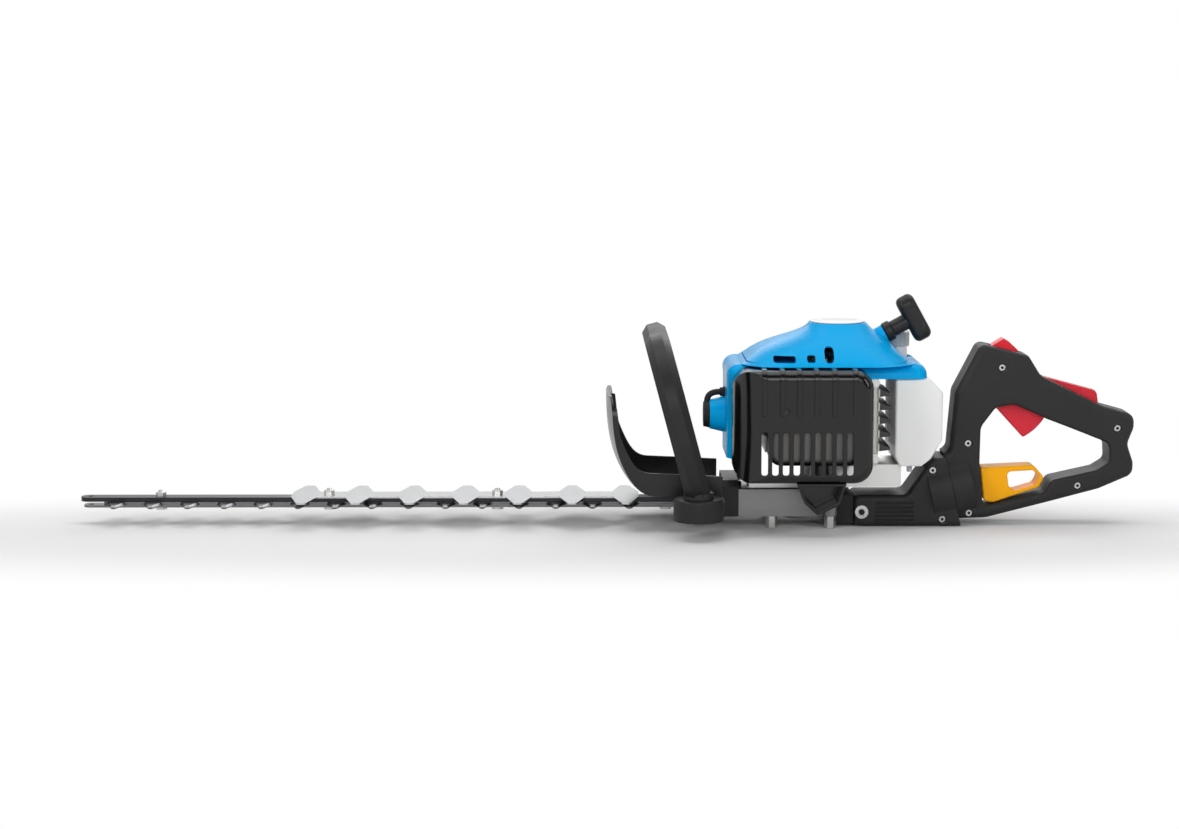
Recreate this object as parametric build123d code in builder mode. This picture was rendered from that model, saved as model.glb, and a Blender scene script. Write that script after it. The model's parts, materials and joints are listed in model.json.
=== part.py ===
# Petrol hedge trimmer with a double-sided blade, a pull starter and a swivelling rear handle.
# Millimetres. +X runs from the blade tip to the rear handle, +Z is up and -Y is the muffler side.
# The origin lies on the floor, in the middle of the machine's length and width.
from build123d import *
import os
from math import acos, cos, pi, radians, sin, tan

os.makedirs("parts", exist_ok=True)

# Overall sizes and the stations along the machine, counted forward from the rear end
overall_length = 1035.0
overall_width = 250.0
rear_end_x = overall_length / 2
blade_tip_x = -overall_length / 2
crank_x = rear_end_x - 290.5
case_front_x = crank_x - 98.0

# Clearances
running_gap = 0.05
part_gap = 0.3
bolt_gap = 0.1

# Blade set
bar_width = 18.0
bar_thickness = 4.2
retainer_thickness = 2.0
blade_thickness = 1.8
comb_thickness = 1.8
blade_spine_width = 22.0
blade_reach = 33.0
tooth_pitch = 36.0
tooth_root_width = 24.0
tooth_tip_width = 6.0
tooth_bevel_deg = 50.0
blade_stroke = 18.0
first_tooth_setback = 36.3
blade_nose_setback = 22.5
toothed_length = 505.0
blade_parting_z = 20.4

lower_blade_z = blade_parting_z - running_gap / 2 - blade_thickness
upper_blade_z = blade_parting_z + running_gap / 2
retainer_z = lower_blade_z - running_gap - retainer_thickness
bar_z = upper_blade_z + blade_thickness + running_gap
comb_z = bar_z + bar_thickness
comb_top_z = comb_z + comb_thickness
blade_nose_x = blade_tip_x + blade_nose_setback
blade_tail_x = case_front_x + 50.0
tooth_count = int(toothed_length / tooth_pitch) + 1

blade_bolt_d = 5.0
shoulder_d = 8.0
blade_bolt_count = 4
blade_bolt_pitch = 166.0
first_bolt_setback = 78.6
blade_bolt_xs = [blade_tip_x + first_bolt_setback + blade_bolt_pitch * i for i in range(blade_bolt_count)]
tip_hole_d = 5.0
tip_hole_setback = 9.5

# Blunt-tooth comb
comb_spine_width = 30.0
comb_reach = 53.0
comb_pitch = 52.6
comb_tooth_count = 7
comb_first_setback = 221.3
comb_end_margin = 13.0
comb_root_width = 26.0
comb_tip_width = 9.0
comb_first_x = blade_tip_x + comb_first_setback
comb_last_x = comb_first_x + comb_pitch * (comb_tooth_count - 1)
comb_bolt_xs = [x for x in blade_bolt_xs if comb_first_x - comb_end_margin < x < comb_last_x + comb_end_margin]

# Gear train
gear_module = 1.0
pinion_teeth = 12
gear_teeth = 44
gear_width = 8.0
gear_backlash = 0.3
pressure_angle = 20.0
gear_z = 25.0
gear_x = crank_x - gear_module * (gear_teeth + pinion_teeth) / 2
gear_shaft_d = 12.0
eccentric_r = 13.0
eccentric_throw = blade_stroke / 2
rod_ring = 3.5
rod_thickness = 1.9
rod_pin_d = 6.0
rod_pin_x = blade_tail_x - 7.0

# Gear case
case_half_width = 36.0
case_split_z = 17.2
case_top_z = 40.0
case_cover_z = 8.0
case_floor = 3.0
gear_pocket_r = 30.0
case_wall = 4.5
case_round_r = gear_pocket_r + case_wall
case_tail_r = 13.0
case_bolt_d = 6.0
case_bolt_head_z = 0.0


def involute(angle):
    return tan(angle) - angle


def gear_outline(teeth, addendum, dedendum):
    """Points around an involute gear, thinned by the backlash, with a tooth on the +X axis."""
    pitch_r = gear_module * teeth / 2
    base_r = pitch_r * cos(radians(pressure_angle))
    half_tooth = pi / (2 * teeth) - gear_backlash / (4 * pitch_r) + involute(radians(pressure_angle))
    root_r = pitch_r - dedendum
    tip_r = pitch_r + addendum
    flank = [root_r, max(root_r + 0.05, base_r), pitch_r, tip_r]
    points = []
    for i in range(teeth):
        middle = 2 * pi * i / teeth
        rising = []
        for r in flank:
            half = half_tooth - involute(acos(min(1.0, base_r / r)))
            rising.append((r, middle - half))
        falling = [(r, 2 * middle - angle) for r, angle in reversed(rising)]
        points += [(r * cos(angle), r * sin(angle)) for r, angle in rising + falling]
    return points


def save(piece, name):
    piece.part.label = name
    export_step(piece.part, f"parts/{name}.step")


# Guide bar: a long flat bar with a rounded nose and a hole at its tip
bar_tail_x = case_front_x + 22.0
with BuildPart() as guide_bar:
    with BuildSketch(Plane.XY.offset(bar_z)):
        with Locations(((blade_tip_x + bar_tail_x) / 2, 0)):
            Rectangle(bar_tail_x - blade_tip_x, bar_width)
        nose = vertices().group_by(Axis.X)[0]
        fillet(nose, bar_width / 2 - 0.5)
        with Locations((blade_tip_x + tip_hole_setback, 0)):
            Circle(tip_hole_d / 2, mode=Mode.SUBTRACT)
        with Locations([(x, 0) for x in blade_bolt_xs]):
            Circle(blade_bolt_d / 2 + bolt_gap, mode=Mode.SUBTRACT)
    extrude(amount=bar_thickness)
save(guide_bar, "guide_bar")

# Retainer: the thin strip under the blades
retainer_tip_x = blade_tip_x + 3.0
retainer_tail_x = case_front_x + 4.0
with BuildPart() as blade_retainer:
    with BuildSketch(Plane.XY.offset(retainer_z)):
        with Locations(((retainer_tip_x + retainer_tail_x) / 2, 0)):
            Rectangle(retainer_tail_x - retainer_tip_x, bar_width)
        fillet(vertices().group_by(Axis.X)[0], bar_width / 2 - 2.5)
        with Locations((blade_tip_x + tip_hole_setback, 0)):
            Circle(tip_hole_d / 2, mode=Mode.SUBTRACT)
        with Locations([(x, 0) for x in blade_bolt_xs]):
            Circle(shoulder_d / 2 + bolt_gap, mode=Mode.SUBTRACT)
    extrude(amount=retainer_thickness)
save(blade_retainer, "blade_retainer")

# Cutting blades: a slotted spine with bevelled teeth on both sides
tooth_xs = [blade_tip_x + first_tooth_setback + tooth_pitch * i for i in range(tooth_count)]
slot_width = shoulder_d + 2 * part_gap
slot_length = slot_width + blade_stroke + 1.0


def blade(name, z, upward):
    """One blade; its bevels open towards the bar above or the retainer below."""
    cutting_z = z if upward else z + blade_thickness
    face = Plane((0, 0, cutting_z), x_dir=(1, 0, 0), z_dir=(0, 0, 1 if upward else -1))
    with BuildPart() as cutter:
        with BuildSketch(face):
            with Locations(((blade_nose_x + blade_tail_x) / 2, 0)):
                Rectangle(blade_tail_x - blade_nose_x, blade_spine_width)
            fillet(vertices().group_by(Axis.X)[0], blade_spine_width / 2 - 1)
        extrude(amount=blade_thickness)
        root_y = blade_spine_width / 4
        with BuildSketch(face):
            for side in (1, -1):
                with Locations([Location((x, 0), 90 - 90 * side) for x in tooth_xs]):
                    Polygon(
                        (-tooth_root_width / 2, root_y),
                        (tooth_root_width / 2, root_y),
                        (tooth_tip_width / 2, blade_reach),
                        (-tooth_tip_width / 2, blade_reach),
                        align=None,
                    )
        extrude(amount=blade_thickness, taper=tooth_bevel_deg)
        with BuildSketch(face):
            with Locations([(x, 0) for x in blade_bolt_xs]):
                SlotOverall(slot_length, slot_width)
            with Locations((rod_pin_x, 0)):
                Circle(rod_pin_d / 2 + running_gap)
        extrude(amount=blade_thickness, mode=Mode.SUBTRACT)
    save(cutter, name)


blade("lower_blade", lower_blade_z, upward=False)
blade("upper_blade", upper_blade_z, upward=True)

# Comb of blunt teeth on top of the bar, longer than the cutting teeth
with BuildPart() as blunt_tooth_comb:
    with BuildSketch(Plane.XY.offset(comb_z)):
        with Locations(((comb_first_x + comb_last_x) / 2, 0)):
            Rectangle(comb_last_x - comb_first_x + 2 * comb_end_margin, comb_spine_width)
        for side in (1, -1):
            with Locations([(comb_first_x + comb_pitch * i, 0) for i in range(comb_tooth_count)]):
                Polygon(
                    (-comb_root_width / 2, 0),
                    (comb_root_width / 2, 0),
                    (comb_root_width / 2, side * comb_spine_width / 2),
                    (comb_tip_width / 2, side * comb_reach),
                    (-comb_tip_width / 2, side * comb_reach),
                    (-comb_root_width / 2, side * comb_spine_width / 2),
                    align=None,
                )
        fillet(vertices().group_by(Axis.Y)[0] + vertices().group_by(Axis.Y)[-1], comb_tip_width / 2 - 0.5)
        with Locations([(x, 0) for x in comb_bolt_xs]):
            Circle(blade_bolt_d / 2 + bolt_gap, mode=Mode.SUBTRACT)
    extrude(amount=comb_thickness)
save(blunt_tooth_comb, "blunt_tooth_comb")

# Shoulder bolts from below, whose shoulders run in the slots, and dome nuts on top
bolt_head_flats = 10.0
bolt_head_height = 3.0
nut_flats = 9.0
nut_height = 4.0
nut_dome_r = 3.6
with BuildPart() as blade_bolts:
    for x in blade_bolt_xs:
        with BuildSketch(Plane.XY.offset(retainer_z)):
            with Locations((x, 0)):
                RegularPolygon(bolt_head_flats / 2, 6, major_radius=False)
        extrude(amount=-bolt_head_height)
        with BuildSketch(Plane.XY.offset(retainer_z)):
            with Locations((x, 0)):
                Circle(shoulder_d / 2)
        extrude(amount=bar_z - retainer_z)
        nut_seat_z = comb_top_z if x in comb_bolt_xs else comb_z
        with BuildSketch(Plane.XY.offset(bar_z)):
            with Locations((x, 0)):
                Circle(blade_bolt_d / 2)
        extrude(amount=nut_seat_z + nut_height - 1 - bar_z)
save(blade_bolts, "blade_bolts")

with BuildPart() as blade_nuts:
    for x in blade_bolt_xs:
        nut_seat_z = comb_top_z if x in comb_bolt_xs else comb_z
        with BuildSketch(Plane.XY.offset(nut_seat_z)):
            with Locations((x, 0)):
                RegularPolygon(nut_flats / 2, 6, major_radius=False)
        extrude(amount=nut_height)
        with BuildSketch(Plane.XY.offset(nut_seat_z + nut_height)):
            with Locations((x, 0)):
                Circle(nut_dome_r)
        extrude(amount=2.4, taper=35)
        with BuildSketch(Plane.XY.offset(nut_seat_z)):
            with Locations((x, 0)):
                Circle(blade_bolt_d / 2 + running_gap)
        extrude(amount=nut_height - 0.5, mode=Mode.SUBTRACT)
save(blade_nuts, "blade_nuts")

# Gear case: the casting over the gears; its nose clamps the bar and its tail holds the pinion
blade_channel_half = 14.0
rod_channel_floor_z = case_cover_z + case_floor
pinion_pocket_r = 8.5
pinion_shaft_d = 10.0
gear_clear = 1.0
bearing_d = 24.0
bearing_width = 5.5
gear_top_z = gear_z + gear_width
bearing_z = gear_top_z + gear_clear


def case_plan(grow):
    """Plan outline of the case, grown by a wall, added to the sketch that is open."""
    with Locations(((case_front_x + gear_x) / 2, 0)):
        Rectangle(gear_x - case_front_x, 2 * (case_half_width + grow))
    with Locations((gear_x, 0)):
        Circle(case_round_r + grow)
    with Locations(((gear_x + crank_x) / 2, 0)):
        Rectangle(crank_x - gear_x, 2 * (case_tail_r + grow))
    with Locations((crank_x, 0)):
        Circle(case_tail_r + grow)


case_bolt_xs = [case_front_x + 33.0, gear_x + 20.0]
case_bolt_ys = {case_bolt_xs[0]: 29.0, case_bolt_xs[1]: 31.0}
case_bolt_places = [(x, side * case_bolt_ys[x]) for x in case_bolt_xs for side in (1, -1)]
bolt_lug_r = 7.0
bolt_lug_height = 14.0

with BuildPart() as gear_case:
    with BuildSketch(Plane.XY.offset(case_split_z)):
        case_plan(0)
    extrude(amount=case_top_z - case_split_z)
    chamfer(edges().group_by(Axis.Z)[-1], 1.5)
    with BuildSketch(Plane.XY.offset(case_split_z)):
        with Locations(case_bolt_places):
            Circle(bolt_lug_r)
    extrude(amount=bolt_lug_height)
    # channel for the bar, the blades and their rods
    with BuildSketch(Plane.XY.offset(case_split_z)):
        with Locations(((case_front_x + gear_x) / 2, 0)):
            Rectangle(gear_x - case_front_x, 2 * blade_channel_half)
    extrude(amount=comb_z - case_split_z, mode=Mode.SUBTRACT)
    with BuildSketch(Plane.XY.offset(case_split_z)):
        with Locations((gear_x, 0)):
            Circle(gear_pocket_r)
        with Locations((crank_x, 0)):
            Circle(pinion_pocket_r)
    extrude(amount=bearing_z - case_split_z, mode=Mode.SUBTRACT)
    with BuildSketch(Plane.XY.offset(bearing_z)):
        with Locations((gear_x, 0)):
            Circle(bearing_d / 2)
    extrude(amount=bearing_width, mode=Mode.SUBTRACT)
    with BuildSketch(Plane.XY.offset(bearing_z)):
        with Locations((crank_x, 0)):
            Circle(pinion_shaft_d / 2 + running_gap)
    extrude(amount=case_top_z - bearing_z, mode=Mode.SUBTRACT)
    with BuildSketch(Plane.XY.offset(case_split_z)):
        with Locations(case_bolt_places):
            Circle(case_bolt_d / 2 + bolt_gap)
    extrude(amount=12.0, mode=Mode.SUBTRACT)
save(gear_case, "gear_case")

# Cover under the gears, with a round bulge below the drive gear
bulge_r = 31.0
with BuildPart() as gear_case_cover:
    cover_flange_z = case_split_z - 5.5
    with BuildSketch(Plane.XY.offset(cover_flange_z)):
        case_plan(0)
        with Locations(case_bolt_places):
            Circle(bolt_lug_r)
    extrude(amount=case_split_z - cover_flange_z)
    with BuildSketch(Plane.XY.offset(cover_flange_z)):
        with Locations((gear_x, 0)):
            Circle(bulge_r)
    extrude(amount=case_cover_z - cover_flange_z, taper=15)
    with BuildSketch(Plane.XY.offset(rod_channel_floor_z)):
        with Locations((gear_x, 0)):
            Circle(gear_pocket_r - 3.5)
    extrude(amount=cover_flange_z + 1.0 - rod_channel_floor_z, mode=Mode.SUBTRACT)
    with BuildSketch(Plane.XY.offset(cover_flange_z + 1.0)):
        with Locations((gear_x, 0)):
            Circle(gear_pocket_r)
    extrude(amount=case_split_z - cover_flange_z - 1.0, mode=Mode.SUBTRACT)
    with BuildSketch(Plane.XY.offset(retainer_z)):
        with Locations(((case_front_x + gear_x) / 2, 0)):
            Rectangle(gear_x - case_front_x, 2 * blade_channel_half)
    extrude(amount=case_split_z - retainer_z, mode=Mode.SUBTRACT)
    rod_channel_x = case_front_x + 12.0
    with BuildSketch(Plane.XY.offset(cover_flange_z + 2.5)):
        with Locations(((rod_channel_x + gear_x) / 2, 0)):
            Rectangle(gear_x - rod_channel_x, 2 * blade_channel_half)
    extrude(amount=case_split_z - cover_flange_z - 2.5, mode=Mode.SUBTRACT)
    with BuildSketch(Plane.XY.offset(case_cover_z)):
        with Locations(case_bolt_places):
            Circle(case_bolt_d / 2 + bolt_gap)
    extrude(amount=case_split_z - case_cover_z, mode=Mode.SUBTRACT)
save(gear_case_cover, "gear_case_cover")

# Hexagon bolts that hold the cover; the machine stands on their heads
case_bolt_flats = 10.0
with BuildPart() as gear_case_bolts:
    with BuildSketch(Plane.XY.offset(case_bolt_head_z)):
        with Locations(case_bolt_places):
            RegularPolygon(case_bolt_flats / 2, 6, major_radius=False)
    extrude(amount=cover_flange_z - case_bolt_head_z)
    with BuildSketch(Plane.XY.offset(cover_flange_z)):
        with Locations(case_bolt_places):
            Circle(case_bolt_d / 2)
    extrude(amount=case_split_z + 11.0 - cover_flange_z)
save(gear_case_bolts, "gear_case_bolts")

# Hexagon screws on top of the case nose and on the crankcase
case_screw_flats = 9.0
case_screw_height = 4.7
nose_screw_x = case_front_x + 6.0
nose_screw_places = [(nose_screw_x, side * 20.0) for side in (1, -1)]
crank_screw_x = crank_x + 33.0
crank_screw_zs = [70.0, 144.0]
crankcase_half = 40.0
with BuildPart() as case_screws:
    with BuildSketch(Plane.XY.offset(case_top_z)):
        with Locations(nose_screw_places):
            RegularPolygon(case_screw_flats / 2, 6, major_radius=False)
    extrude(amount=case_screw_height)
    with BuildSketch(Plane.XZ.offset(crankcase_half)):
        with Locations([(crank_screw_x, z) for z in crank_screw_zs]):
            RegularPolygon(case_screw_flats / 2, 6, major_radius=False)
    extrude(amount=case_screw_height)
save(case_screws, "case_screws")

# Drive gear with its shaft, and the bearing that carries it
gear_addendum = 0.75 * gear_module
gear_dedendum = 1.05 * gear_module
with BuildPart() as drive_gear:
    with BuildSketch(Plane((gear_x, 0, gear_z))):
        Polygon(*gear_outline(gear_teeth, gear_addendum, gear_dedendum), align=None)
    extrude(amount=gear_width)
    with BuildSketch(Plane((gear_x, 0, gear_top_z))):
        Circle(gear_shaft_d / 2)
    extrude(amount=gear_clear + bearing_width - 0.5)
save(drive_gear, "drive_gear")

with BuildPart() as gear_bearing:
    with BuildSketch(Plane((gear_x, 0, bearing_z))):
        Circle(bearing_d / 2 - running_gap)
        Circle(gear_shaft_d / 2 + running_gap, mode=Mode.SUBTRACT)
    extrude(amount=bearing_width)
save(gear_bearing, "gear_bearing")


# Eccentrics and connecting rods; each pair rides with its blade
def crank_rod(rod_name, disc_name, z, blade_z, side):
    """A rod with a ring around its eccentric, and a pin into the blade's tail."""
    ring_y = side * eccentric_throw
    with BuildPart() as rod:
        with BuildSketch(Plane.XY.offset(z)):
            with Locations((gear_x, ring_y)):
                Circle(eccentric_r + rod_ring)
            with Locations((rod_pin_x, 0)):
                Circle(rod_pin_d)
            with BuildLine():
                Polyline(
                    (rod_pin_x, -rod_pin_d),
                    (gear_x, ring_y - eccentric_r),
                    (gear_x, ring_y + eccentric_r),
                    (rod_pin_x, rod_pin_d),
                    close=True,
                )
            make_face()
            with Locations((gear_x, ring_y)):
                Circle(eccentric_r + running_gap, mode=Mode.SUBTRACT)
        extrude(amount=rod_thickness, dir=(0, 0, 1))
        with BuildSketch(Plane.XY.offset(min(z, blade_z))):
            with Locations((rod_pin_x, 0)):
                Circle(rod_pin_d / 2)
        extrude(amount=abs(blade_z - z) + (rod_thickness if z > blade_z else blade_thickness))
    save(rod, rod_name)
    with BuildPart() as disc:
        with BuildSketch(Plane.XY.offset(z)):
            with Locations((gear_x, ring_y)):
                Circle(eccentric_r)
            with Locations((gear_x, 0)):
                Circle(3.0, mode=Mode.SUBTRACT)
        extrude(amount=rod_thickness)
    save(disc, disc_name)


upper_rod_z = upper_blade_z + blade_thickness + running_gap
lower_rod_z = lower_blade_z - running_gap - rod_thickness
crank_rod("upper_con_rod", "upper_eccentric", upper_rod_z, upper_blade_z, 1)
crank_rod("lower_con_rod", "lower_eccentric", lower_rod_z, lower_blade_z, -1)

# Pinion and clutch drum on one short shaft under the crankshaft
clutch_z = case_top_z
clutch_floor = 4.0
drum_z = clutch_z + clutch_floor + 1.0
drum_height = 15.0
drum_r = 27.0
drum_wall = 2.0
with BuildPart() as pinion:
    with BuildSketch(Plane((crank_x, 0, gear_z))):
        tooth_turn = 180.0 + 180.0 / pinion_teeth
        with Locations((Location((0, 0, 0), tooth_turn))):
            Polygon(*gear_outline(pinion_teeth, gear_addendum, gear_dedendum), align=None)
    extrude(amount=gear_width)
    with BuildSketch(Plane((crank_x, 0, gear_top_z))):
        Circle(pinion_shaft_d / 2)
    extrude(amount=drum_z - gear_top_z)
save(pinion, "pinion")

with BuildPart() as clutch_drum:
    with BuildSketch(Plane((crank_x, 0, drum_z))):
        Circle(drum_r)
    extrude(amount=drum_height)
    with BuildSketch(Plane((crank_x, 0, drum_z + drum_wall))):
        Circle(drum_r - drum_wall)
    extrude(amount=drum_height - drum_wall, mode=Mode.SUBTRACT)
save(clutch_drum, "clutch_drum")

# Bracket across the machine: it straddles the blades and carries the front handle's two feet
bracket_rear_x = case_front_x
bracket_depth = 15.0
bracket_half_width = 38.0
bracket_bottom_z = 12.0
bracket_top_z = 47.0
guard_floor_z = 35.0
foot_x = crank_x - 139.5
foot_y = 92.0
foot_r = 24.0
foot_z = 18.0
foot_top_z = 39.0
arm_bottom_z = 21.0
arm_top_z = guard_floor_z - part_gap
arm_depth = 34.0
foot_screw_d = 6.0
window_half = blade_spine_width / 2 + 5.0
window_top_z = comb_top_z + 2.0
bracket_front_x = bracket_rear_x - bracket_depth

with BuildPart() as handle_bracket:
    with BuildSketch(Plane.XY.offset(bracket_bottom_z)):
        with Locations((bracket_rear_x - bracket_depth / 2, 0)):
            Rectangle(bracket_depth, 2 * bracket_half_width)
    extrude(amount=bracket_top_z - bracket_bottom_z)
    chamfer(edges().filter_by(Axis.X).group_by(Axis.Z)[-1], 6.0)
    with BuildSketch(Plane.XY.offset(arm_bottom_z)):
        with Locations((foot_x + arm_depth / 4, 0)):
            Rectangle(arm_depth, 2 * foot_y)
        with Locations(((foot_x + bracket_front_x) / 2, 0)):
            Rectangle(bracket_front_x - foot_x + 2, 2 * bracket_half_width)
    extrude(amount=arm_top_z - arm_bottom_z)
    with BuildSketch(Plane.XY.offset(foot_z)):
        with Locations((foot_x, foot_y), (foot_x, -foot_y)):
            Circle(foot_r)
    extrude(amount=foot_top_z - foot_z)
    fillet(edges().filter_by(GeomType.CIRCLE).group_by(Axis.Z)[-1], 2.0)
    # window for the bar, blades and nuts
    with BuildSketch(Plane.YZ.offset(foot_x - arm_depth)):
        with Locations((0, (retainer_z - 6.0 + window_top_z) / 2)):
            Rectangle(2 * window_half, window_top_z - retainer_z + 6.0)
    extrude(amount=bracket_rear_x - foot_x + arm_depth + 1, mode=Mode.SUBTRACT)
    with BuildSketch(Plane.XY.offset(foot_z)):
        with Locations((foot_x, foot_y), (foot_x, -foot_y)):
            Circle(foot_screw_d / 2 + bolt_gap)
    extrude(amount=foot_top_z - foot_z, mode=Mode.SUBTRACT)
save(handle_bracket, "handle_bracket")

# Front handle: a moulded bail with a faceted section, standing on two round collars
handle_section_w = 24.0
handle_section_d = 22.0
handle_facet = 6.5
handle_lean_deg = 15.0
handle_top_z = 193.0
collar_r = 15.0
collar_height = 6.0
handle_half = overall_width / 2 - handle_section_d / 2
handle_base_z = foot_top_z + 1.0
handle_rise = (handle_top_z - handle_section_w / 2 - handle_base_z) / cos(radians(handle_lean_deg))
shoulder_rise = 48.0
shoulder_radius = 60.0
top_radius = 58.0
lean_cos = cos(radians(handle_lean_deg))
lean_sin = sin(radians(handle_lean_deg))
bail_plane = Plane((foot_x, 0, handle_base_z), x_dir=(0, 1, 0), z_dir=(lean_cos, 0, lean_sin))
with BuildPart() as front_handle:
    with BuildLine(bail_plane) as bail:
        FilletPolyline(
            (-foot_y, 0),
            (-handle_half, shoulder_rise),
            (-handle_half, handle_rise),
            (handle_half, handle_rise),
            (handle_half, shoulder_rise),
            (foot_y, 0),
            radius=[shoulder_radius, top_radius, top_radius, shoulder_radius],
        )
    path = bail.wires()[0]
    with BuildSketch(Plane(path @ 0, x_dir=bail_plane.z_dir, z_dir=path % 0)):
        Rectangle(handle_section_w, handle_section_d)
        chamfer(vertices(), handle_facet)
        fillet(vertices(), 1.2)
    sweep(path=path)
    with BuildSketch(Plane.XY.offset(foot_top_z)):
        with Locations((foot_x, foot_y), (foot_x, -foot_y)):
            Circle(collar_r)
    extrude(amount=collar_height, taper=8)
    with BuildSketch(Plane.XY.offset(foot_top_z - 20)):
        with Locations((0, 0)):
            Rectangle(overall_length, overall_width * 2)
    extrude(amount=20, mode=Mode.SUBTRACT)
    with BuildSketch(Plane.XY.offset(foot_top_z)):
        with Locations((foot_x, foot_y), (foot_x, -foot_y)):
            Circle(foot_screw_d / 2 + bolt_gap)
    extrude(amount=5.0, mode=Mode.SUBTRACT)
save(front_handle, "front_handle")

with BuildPart() as foot_screws:
    with BuildSketch(Plane.XY.offset(foot_z - 3.0)):
        with Locations((foot_x, foot_y), (foot_x, -foot_y)):
            Circle(5.0)
    extrude(amount=3.0)
    with BuildSketch(Plane.XY.offset(foot_z)):
        with Locations((foot_x, foot_y), (foot_x, -foot_y)):
            Circle(foot_screw_d / 2)
    extrude(amount=foot_top_z - foot_z + 4.5)
save(foot_screws, "foot_screws")

# Hand guard: a scoop that curves up from its floor into a shield, bowed forward in plan, with side walls
guard_front_x = crank_x - 226.7
guard_half_width = 59.0
guard_wall = 2.5
guard_top_z = 131.5
guard_bow_radius = 350.0
guard_length = 112.0
guard_corner_r = 20.0
guard_wall_top_z = 54.0
guard_axis = Axis((guard_front_x + guard_bow_radius, 0, 0), (0, 0, 1))


def guard_plane(shift):
    """Side plane of the scoop, moved back and up by the shift."""
    return Plane((guard_front_x + shift, 0, shift), x_dir=(1, 0, 0), z_dir=(0, -1, 0))


def guard_side():
    """Side region between the scoop's outer skin and the free edge of its walls."""
    Spline(
        (0, guard_top_z),
        (1.2, 102),
        (6.0, 76),
        (20.0, 47.5),
        (46.0, guard_floor_z),
        tangents=((0, -1), (1, 0)),
    )
    Line((46.0, guard_floor_z), (guard_length + 10, guard_floor_z))
    Line((guard_length + 10, guard_floor_z), (guard_length + 10, guard_wall_top_z))
    Line((guard_length + 10, guard_wall_top_z), (36.0, guard_wall_top_z + 4))
    Spline(
        (36.0, guard_wall_top_z + 4),
        (20.0, 68),
        (11.0, 86),
        (4.0, guard_top_z),
        tangents=((-1, 0.1), (-0.1, 1)),
    )
    Line((4.0, guard_top_z), (0, guard_top_z))


with BuildPart() as scoop_inside:
    with BuildSketch(guard_plane(guard_wall)):
        with BuildLine():
            guard_side()
        make_face()
    revolve(axis=guard_axis, revolution_arc=360)
    with BuildSketch(Plane.XY):
        with Locations((guard_front_x + 100, 0)):
            Rectangle(260, 2 * (guard_half_width - guard_wall))
    extrude(amount=2 * guard_top_z, mode=Mode.INTERSECT)

with BuildPart() as hand_guard:
    with BuildSketch(guard_plane(0)):
        with BuildLine():
            guard_side()
        make_face()
    revolve(axis=guard_axis, revolution_arc=360)
    with BuildSketch(Plane.XY):
        with Locations((guard_front_x + guard_length / 2 - 10, 0)):
            Rectangle(guard_length + 20, 2 * guard_half_width)
    extrude(amount=2 * guard_top_z, mode=Mode.INTERSECT)
    with BuildSketch(Plane.YZ.offset(guard_front_x - 20)):
        with Locations((0, guard_top_z / 2)):
            Rectangle(2 * guard_half_width, guard_top_z)
        fillet(vertices().group_by(Axis.Y)[-1], guard_corner_r)
    extrude(amount=guard_length + 40, mode=Mode.INTERSECT)
    add(scoop_inside.part, mode=Mode.SUBTRACT)
save(hand_guard, "hand_guard")

# Rear handle: two moulded halves that turn on the swivel base about a tilted axis
swivel_tilt_deg = 13.4
swivel_x = rear_end_x - 177.8
swivel_z = 36.0
swivel_r = 32.5
spigot_r = 17.0
spigot_length = 15.0
seam_gap = 0.3
grip_half = 20.0
grip_round = 6.0
loop_round = 3.0
tilt_cos = cos(radians(swivel_tilt_deg))
tilt_sin = sin(radians(swivel_tilt_deg))
swivel_dir = Vector(tilt_cos, 0, tilt_sin)
seam_plane = Plane((swivel_x, 0, swivel_z), x_dir=(0, 1, 0), z_dir=swivel_dir)


def behind(distance, z):
    """A point of the side view, by its distance ahead of the rear end and its height."""
    return (rear_end_x - distance, z)


def along_seam(height, beyond=0.0):
    """A point of the seam line at this height, or past it towards the rear."""
    return (swivel_x + beyond - (height - swivel_z) * tilt_sin / tilt_cos, height)


trigger_pivot = behind(131.8, 132.7)
trigger_r = 53.0
trigger_half = 8.0
trigger_from_deg = -62.5
trigger_to_deg = -22.0
trigger_travel_deg = 20.0
lockout_pivot = behind(86.0, 138.0)
lockout_half = 7.0
lockout_travel_deg = 9.0
switch_pivot = behind(127.0, 168.5)
switch_half = 8.0
switch_travel_deg = 16.0
lever_half = 12.0
lever_travel = 4.5
control_gap = 0.4
pivot_pin_d = 4.0
handle_screw_places = [
    behind(130.3, 155.4),
    behind(162.3, 80.7),
    behind(16.1, 95.5),
    behind(54.0, 38.6),
    behind(160.3, 11.5),
]
handle_screw_r = 3.2
side_plane = Plane.XZ

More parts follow.
